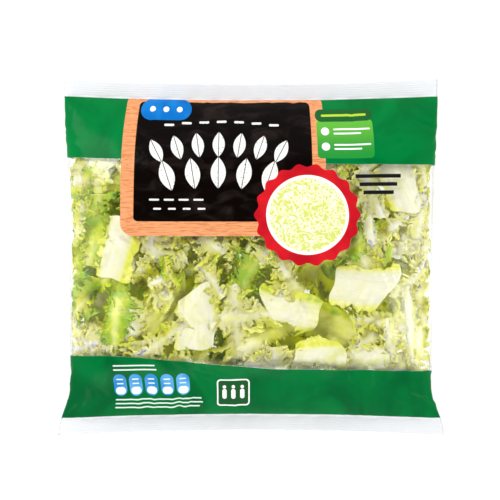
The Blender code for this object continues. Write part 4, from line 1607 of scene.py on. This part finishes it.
    def hem(self, made: dict[str, np.ndarray], side: int, base_u: np.ndarray, base: np.ndarray,
            half: np.ndarray, draw: np.random.Generator) -> None:
        """Lays out one side margin of a broad rib: smooth for most of its way and finely toothed in places.

        Args:
            made: The blank's points, which this fills in.
            side: -1 or 1.
            base_u: Place along the piece of each column.
            base: Where the margin starts, as a distance across.
            half: Half the blade's width there.
            draw: The piece's own draws.
        """
        fringe = FRINGES[LeafKind.RIB]
        middle_row = (len(made["u"]) - 1) // 2
        phases = draw.uniform(0, FULL_TURN, 4)
        slow = 0.5 + 0.5 * np.sin(FULL_TURN * 0.9 * base_u + phases[0])
        torn = smooth((np.sin(FULL_TURN * 0.7 * base_u + phases[1]) - 0.10) / 0.5)
        coarse = 0.5 + 0.5 * np.sin(FULL_TURN * 3.1 * base_u + phases[2] + 2.0 * slow)
        fine = 0.5 + 0.5 * np.sin(FULL_TURN * 8.3 * base_u + phases[3])
        teeth = (0.65 * coarse + 0.35 * fine) * draw.uniform(0.8, 1.1, len(base_u))
        reach = half * (0.06 + 0.30 * slow + torn * (0.06 + 0.26 * teeth))
        for step in range(1, fringe.reach_rows + 1):
            at = step / fringe.reach_rows
            row = middle_row + side * (fringe.rib_rows + fringe.blade_rows + step)
            made["u"][row], made["v"][row] = base_u, side * (base + reach * at)
            made["t"][row] = at * torn
            curl = np.sin(FULL_TURN * 5.0 * base_u + phases[3] + 1.5 * at)
            made["out"][row] = MM * at * (0.4 + 1.2 * torn) * curl

    def turn(self, vectors: np.ndarray, angle: np.ndarray) -> np.ndarray:
        """Each vector turned by its own angle.

        Args:
            vectors: Flat vectors.
            angle: An angle for each.

        Returns:
            The turned vectors.
        """
        c, s = np.cos(angle), np.sin(angle)
        x, y = vectors.T
        return np.stack([x * c - y * s, x * s + y * c], axis=1)

    def heights(self, sheet: Sheet, flat: dict[str, np.ndarray], x: np.ndarray, y: np.ndarray,
                thick: np.ndarray, space: Pair, stack: Stack, draw: np.random.Generator) -> np.ndarray:
        """Heights of the sheet's middle, inside the piece's own space.

        Args:
            sheet: The piece's sheet.
            flat: What flat gave for it.
            x: Where its points lie in plan.
            y: The same.
            thick: How thick it is at each.
            space: The fields of the lowest and highest place of its own space.
            stack: The grid that they are on.
            draw: The piece's own draws.

        Returns:
            The height of each point.
        """
        low, high = stack.at(space[0], x, y), stack.at(space[1], x, y)
        room = high - low
        inside = sheet.half(np.clip(flat["u"], 0.0, 1.0))
        across = flat["v"] / np.maximum(inside, 1e-6)
        edge = np.minimum(self.clear + thick / 2, room * 0.45)
        slack = room - 2 * edge
        lift = sheet.lift(flat["u"], across)
        if sheet.piece.kind is LeafKind.RIB:
            lift = self.folded(sheet, flat, across, draw)
        t = flat["t"]
        wave = np.sin(FULL_TURN * (0.7 * t + flat["chance"]))
        lift = lift + self.by_turns * flat["odd"] + self.waving * t * wave
        z = low + edge + np.clip(lift, 0.0, 1.0) * slack
        return np.clip(z + flat["out"], low + edge, high - edge)

    def folded(self, sheet: Sheet, flat: dict[str, np.ndarray], across: np.ndarray,
               draw: np.random.Generator) -> np.ndarray:
        """A broad rib's own lift: a shallow channel with a fold or two, and fine ridges along it.

        Args:
            sheet: The rib's sheet.
            flat: What flat gave for it.
            across: How far each point is across it, -1 to 1.
            draw: The piece's own draws.

        Returns:
            0 at the bottom of the rib's space to 1 at its top, or past them.
        """
        length = sheet.piece.length
        lift = 0.80 - 0.22 * np.abs(across) ** 2
        for _ in range(2):
            turn = draw.uniform(-0.6, 0.6) + draw.integers(0, 2) * 1.2
            middle = draw.uniform(-0.35, 0.35) * sheet.width
            place = (flat["u"] - 0.5) * length * math.sin(turn) + flat["v"] * math.cos(turn) - middle
            lift = lift - draw.uniform(0.35, 0.75) * np.clip(np.abs(place) / (0.5 * sheet.width), 0, 1.2)
        for _ in range(4):
            turn, pitch = draw.uniform(-1.0, 1.0), draw.uniform(0.007, 0.015)
            place = flat["u"] * length * math.sin(turn) + flat["v"] * math.cos(turn)
            bent = place / pitch + 0.6 * np.sin(FULL_TURN * flat["u"] + turn)
            depth, phase = draw.uniform(0.10, 0.22), draw.uniform(0, FULL_TURN)
            lift = lift - depth * np.abs(np.sin(math.pi * bent + phase))
        lift = lift - lift.max() + 0.94
        phases = draw.uniform(0, FULL_TURN, 3)
        drift = 0.4 * np.sin(4.0 * flat["u"] + phases[2])
        for pitch, height, phase in ((0.0052, 0.045, phases[0]), (0.0031, 0.030, phases[1])):
            lift = lift + height * np.sin(FULL_TURN * flat["v"] / pitch + phase + drift)
        return lift

    def tint(self, sheet: Sheet, flat: dict[str, np.ndarray], deep: np.ndarray,
             draw: np.random.Generator) -> np.ndarray:
        """How much rib and how much green each point has, and a number for the piece.

        Args:
            sheet: The piece's sheet.
            flat: What flat gave for it.
            deep: How far each lies inside the filling, 0 to 1. Painted shade: the inner ones are made greener
                and less white, for the light that reaches them through the leaves above.
            draw: The piece's own draws.

        Returns:
            A colour for each point.
        """
        fringe = FRINGES[sheet.piece.kind]
        half = sheet.half(np.clip(flat["u"], 0.0, 1.0))
        across = np.abs(flat["v"]) / np.maximum(half, 1e-6)
        rib_edge = fringe.rib_share * (1 - fringe.rib_taper * np.clip(flat["u"], 0, 1))
        rib_edge = rib_edge * (1.0 + 1.4 * max(0.0, 0.5 - sheet.piece.green))
        rib = 1.0 - smooth((across / np.maximum(rib_edge, 0.02) - 0.7) / 0.9)
        outwards = smooth((across - 0.10) / 0.80)
        if sheet.piece.kind is LeafKind.RIB:
            starts = draw.uniform(0.25, 0.80, 2)
            outwards = smooth((across - np.where(flat["v"] < 0, starts[0], starts[1])) / 0.45)
            rib = 1.0 - 0.88 * outwards
            green = 0.02 + (0.28 + sheet.piece.green) * outwards
        else:
            rib = np.maximum(rib, 0.85 * flat["vein"] * (1.0 - 0.5 * sheet.piece.green))
            leafy = smooth((sheet.piece.green - 0.45) / 0.45)
            rib = rib * (1.0 - 0.65 * leafy)
            inner = 0.10 + 0.45 * leafy
            green = sheet.piece.green * (inner + (0.90 - inner) * outwards)
            # Painted highlight: the fingers' edges and tips are made less green, so paler, for light caught
            # on thin curled edges.
            green = green + 0.22 * flat["t"] - 0.30 * flat["rim"]
        green = green + 0.20 * (flat["chance"] - 0.5) * outwards + 0.12 * (flat["u"] - 0.5) * outwards
        # Painted shade: points deep in the filling are made greener and less white, for the light that
        # reaches them through the leaves above.
        green = green + 0.22 * deep * (1.0 - smooth((green - 0.3) / 0.3))
        rib = rib * (1.0 - 0.80 * deep)
        colour = np.ones(flat["u"].shape + (4,))
        colour[..., 0], colour[..., 1], colour[..., 2] = rib, np.clip(green, 0.0, 1.0), draw.uniform(0, 1)
        return colour

    def build(self, sheet: Sheet, space: Pair, stack: Stack) -> bpy.types.Object:
        """Bends one piece from its blank, thickens and dresses it.

        Args:
            sheet: The piece's sheet.
            space: The fields of the lowest and highest place of its own space.
            stack: The grid that they are on.

        Returns:
            The finished piece.
        """
        piece = sheet.piece
        fringe = FRINGES[piece.kind]
        draw = np.random.default_rng(piece.seed + self.own_seed)
        flat = self.flat(sheet, draw)
        x, y = sheet.plan(flat["u"], flat["v"])
        half = sheet.half(np.clip(flat["u"], 0.0, 1.0))
        across = np.abs(flat["v"]) / np.maximum(half, 1e-6)
        ridge = smooth(1.0 - across / max(fringe.rib_share * 1.2, 0.05))
        ridge = ridge * (1 - 0.6 * np.clip(flat["u"], 0, 1))
        thick = self.thin * (1 - (1 - self.tip_thin) * flat["t"]) + (fringe.rib_thickness - self.thin) * ridge
        z = self.heights(sheet, flat, x, y, thick, space, stack, draw)
        keep = piece.kind in (LeafKind.RIB, LeafKind.STRIP)
        stack.fill(x, y, z, keep)
        stack.fill(*[(values[1:] + values[:-1]) / 2 for values in (x, y, z)], keep)
        mesh = self.blank(piece.kind).copy()
        made = bpy.data.objects.new(f"cut_{piece.name}", mesh)
        bpy.context.scene.collection.objects.link(made)
        mesh.vertices.foreach_set("co", np.stack([x, y, z], axis=2).reshape(-1))
        corners = np.empty(len(mesh.loops), dtype=np.int64)
        mesh.loops.foreach_get("vertex_index", corners)
        sheet_mm = np.stack([flat["u"] * piece.length / MM, flat["v"] / MM], axis=2).reshape(-1, 2)
        layer = mesh.uv_layers[0]
        layer.name = "sheet"
        layer.uv.foreach_set("vector", sheet_mm[corners].astype(np.float32).reshape(-1))
        colours = mesh.color_attributes.new("tint", "FLOAT_COLOR", "POINT")
        # How deep each point lies inside the filling, for the painted shade that tint gives the inner pieces.
        painted_shade_depth = np.minimum(stack.at(stack.ceiling, x, y) - z, z - stack.at(stack.floor, x, y))
        tint = self.tint(sheet, flat, smooth((painted_shade_depth - self.outer) / self.inner), draw)
        colours.data.foreach_set("color", tint.astype(np.float32).reshape(-1))
        group = made.vertex_groups.new(name="thickness")
        most = float(thick.max())
        for number, value in enumerate((thick / most).reshape(-1)):
            group.add([number], float(value), "REPLACE")
        mesh.materials.append(self.finishes[piece.kind])
        make_active(made)
        solid = made.modifiers.new("Thickness", "SOLIDIFY")
        solid.thickness, solid.offset, solid.vertex_group = most, 0.0, group.name
        solid.thickness_vertex_group = 0.0
        bpy.ops.object.modifier_apply(modifier=solid.name)
        bpy.ops.object.shade_smooth()
        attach(made, "root")
        if piece.kind is LeafKind.SHRED:
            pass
        else:
            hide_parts(piece.name)
        return made

    def areas(self, face: int) -> list[Area]:
        """Where each small piece is looked for.

        Args:
            face: 1 on the front and -1 on the back.

        Returns:
            Areas by the front's side folds and low band, and then all over the face.
        """
        low, high = self.clear_part
        wide, (near, far) = self.clear_half_width, self.by_fold
        anywhere = Area((-wide, wide), self.clear_part, (0.0, FULL_TURN))
        if face < 0:
            return [anywhere] * self.shreds_behind
        found = []
        pitch = (high - low) / self.shreds_by_fold
        upright = (math.pi / 2 - self.fold_turn, math.pi / 2 + self.fold_turn)
        for k in range(self.shreds_by_fold):
            y = (low + pitch * (k + 0.3), low + pitch * (k + 0.7))
            found += [Area((near, far), y, upright), Area((-far, -near), y, upright)]
        pitch = self.band_span / self.shreds_by_band
        for k in range(self.shreds_by_band):
            x = -self.band_span / 2 + pitch * k
            found.append(Area((x, x + pitch), self.by_band, (-self.band_turn, self.band_turn)))
        return found + [anywhere] * self.shreds_in_front

    def green_near(self, face: int, x: float, y: float, draw: np.random.Generator) -> float:
        """How green a small piece is: much as the nearest large leaf, which it may be torn from.

        Args:
            face: 1 on the front and -1 on the back.
            x: Where the small piece lies.
            y: The same.
            draw: The draws for all small pieces.

        Returns:
            A greenness from 0 to 1.
        """
        leafy = [piece for piece in self.laid[face] if piece.kind is not LeafKind.RIB]
        nearest = min(leafy, key=lambda piece: math.hypot(piece.x - x, piece.y - y))
        return float(np.clip(nearest.green - self.paler + draw.normal(0.0, self.varied), 0.05, 0.95))

    def shred(self, number: int, face: int, area: Area, stack: Stack,
              draw: np.random.Generator) -> bpy.types.Object:
        """Lays one small piece where the others leave the deepest hollow.

        Args:
            number: Which one it is.
            face: 1 on the front and -1 on the back.
            area: Where it is looked for.
            stack: The grid, which knows how high the bag is filled.
            draw: The draws for all small pieces.

        Returns:
            The finished piece.
        """
        xs = draw.uniform(*area.x, self.tries)
        ys = draw.uniform(*area.y, self.tries)
        best = int(np.argmax(stack.at(stack.hollow(face), xs, ys)))
        x, y = float(xs[best]), float(ys[best])
        length = draw.uniform(*CUTS[LeafKind.SHRED].length)
        green = self.green_near(face, x, y, draw)
        turn, bend = draw.uniform(*area.turn), draw.uniform(-self.shred_bend, self.shred_bend)
        name = f"{'front' if face > 0 else 'back'}_shred_{number:03d}"
        seed = self.shred_seed + self.behind_seed * (face < 0) + number
        piece = Piece(name, LeafKind.SHRED, x, y, turn, bend, length, seed, green)
        return self.build(Sheet(piece, self.form), stack.room_over(face, self.shred_room), stack)

    def build_all(self) -> list[bpy.types.Object]:
        """Every piece, each in its own share of the height between the films.

        Returns:
            The finished pieces.
        """
        filling = Filling(self.form)
        stack = Stack(self.form)
        self.laid = {1: filling.front(), -1: filling.back()}
        front = [Sheet(piece, self.form) for piece in self.laid[1]]
        back = [Sheet(piece, self.form) for piece in self.laid[-1]]
        spaces = stack.share(front, back)
        white, cream = tone(234, 232, 207), tone(214, 217, 134)
        finishes = {
            LeafKind.RIB: LeafFinish("leaf_rib", rib=white, vein=cream, roughness=0.30, soft=0.2),
            LeafKind.LEAF: LeafFinish("leaf_leaf"),
            LeafKind.TUFT: LeafFinish("leaf_tuft", fresh=tone(219, 223, 34)),
            LeafKind.STRIP: LeafFinish("leaf_strip", fresh=tone(206, 217, 30)),
        }
        self.finishes = {kind: finish.material() for kind, finish in finishes.items()}
        self.finishes[LeafKind.SHRED] = self.finishes[LeafKind.TUFT]
        made = [self.build(sheet, spaces[sheet.piece.name], stack) for sheet in front + back]
        draw = np.random.default_rng(FIRST_SEED + self.laying_seed)
        for face in (1, -1):
            for number, area in enumerate(self.areas(face), 1):
                made.append(self.shred(number, face, area, stack, draw))
        for mesh in self.blanks.values():
            bpy.data.meshes.remove(mesh)
        return made


# The studio


@dataclass(frozen=True)
class Softbox:
    """One soft light, aimed at the bag."""

    name: str
    place: tuple[float, float, float]
    size: tuple[float, float]
    power: float


@dataclass(frozen=True)
class Studio:
    """A pale floor, soft light and a camera that looks straight down."""

    form: BagForm
    camera_height: float = 1.6
    camera_x: float = -0.0007
    camera_y: float = 0.0047
    view_width: float = 0.32970
    sensor: float = 36.0
    sky: float = 1.32
    ceiling: float = 0.05
    ceiling_starts: float = 0.62
    ceiling_full: float = 0.80
    floor_size: float = 6.0
    floor_gap: float = 0.0003
    floor_shade: float = 0.25
    floor_glow: float = 0.84
    boxes: tuple[Softbox, ...] = (
        Softbox("Key", (-0.95, 0.90, 1.00), (0.80, 0.80), 17.0),
        Softbox("Fill", (1.05, -0.30, 0.80), (0.40, 0.90), 7.0),
        Softbox("Low glint", (-0.30, -1.10, 0.80), (0.90, 0.30), 4.0),
    )

    def build(self) -> None:
        """Sets up the floor, the lights, the sky and the camera."""
        self.floor()
        for box_light in self.boxes:
            self.light(box_light)
        self.surround()
        self.camera()
        bpy.context.scene.view_settings.view_transform = "Standard"

    def surround(self) -> None:
        """White walls all round, with a dim ceiling, so that level film stays clear to look through."""
        world = bpy.data.worlds.new("Studio")
        bpy.context.scene.world = world
        world.use_nodes = True
        graph = Graph(world.node_tree)
        sky = world.node_tree.nodes["Background"]
        sky.inputs["Color"].default_value = (1.0, 1.0, 1.0, 1.0)
        course = graph.add("ShaderNodeTexCoord").outputs["Generated"]
        height = graph.add("ShaderNodeSeparateXYZ", {0: course}).outputs[2]
        strength = graph.step(height, self.ceiling_starts, self.ceiling_full, self.sky, self.ceiling)
        world.node_tree.links.new(strength, sky.inputs["Strength"])

    def floor(self) -> None:
        """A plain pale floor, a hair below the bag."""
        deselect()
        bpy.ops.mesh.primitive_plane_add(size=self.floor_size, location=(0.0, 0.0, -self.floor_gap))
        made = bpy.context.object
        made.name = "floor"
        pale = bpy.data.materials.new("pale_floor")
        pale.use_nodes = True
        surface = pale.node_tree.nodes["Principled BSDF"]
        surface.inputs["Base Color"].default_value = (*[self.floor_shade] * 3, 1.0)
        surface.inputs["Roughness"].default_value = 0.9
        surface.inputs["Specular IOR Level"].default_value = 0.1
        surface.inputs["Emission Color"].default_value = (1.0, 1.0, 1.0, 1.0)
        surface.inputs["Emission Strength"].default_value = self.floor_glow
        made.data.materials.append(pale)

    def light(self, softbox: Softbox) -> None:
        """Adds one softbox, aimed at the bag's middle.

        Args:
            softbox: The light's place, size and power.
        """
        data = bpy.data.lights.new(softbox.name, "AREA")
        data.shape = "RECTANGLE"
        data.size, data.size_y = softbox.size
        data.energy = softbox.power
        made = bpy.data.objects.new(softbox.name, data)
        bpy.context.scene.collection.objects.link(made)
        made.location = softbox.place
        aim = Vector((0.0, 0.0, self.form.seal_height)) - Vector(softbox.place)
        made.rotation_euler = aim.to_track_quat("-Z", "Y").to_euler()

    def camera(self) -> None:
        """A long lens straight above the bag, with the top seal up."""
        data = bpy.data.cameras.new("Camera")
        data.sensor_width = self.sensor
        data.lens = self.sensor * self.camera_height / self.view_width
        made = bpy.data.objects.new("Camera", data)
        bpy.context.scene.collection.objects.link(made)
        made.location = (self.camera_x, self.camera_y, self.form.seal_height + 0.004 + self.camera_height)
        made.rotation_euler = (0.0, 0.0, 0.0)
        bpy.context.scene.camera = made


def main() -> None:
    """Builds the scene, piece by piece."""
    logging.basicConfig(level=logging.INFO, format="%(message)s")
    form = BagForm.from_solid()
    Studio(form).build()
    log.info("studio")
    skin = FilmSkin(form).build(Shapes())
    log.info("%s: %d faces", skin.name, len(skin.data.polygons))
    pieces = [skin] + CurlyPieces(form).build_all()
    for piece in pieces[1:]:
        log.info("%s: %d faces", piece.name, len(piece.data.polygons))
    faces = [face for piece in pieces for face in piece.data.polygons]
    log.info("triangles in all: %d", sum(len(face.vertices) - 2 for face in faces))


if __name__ == "__main__":
    main()
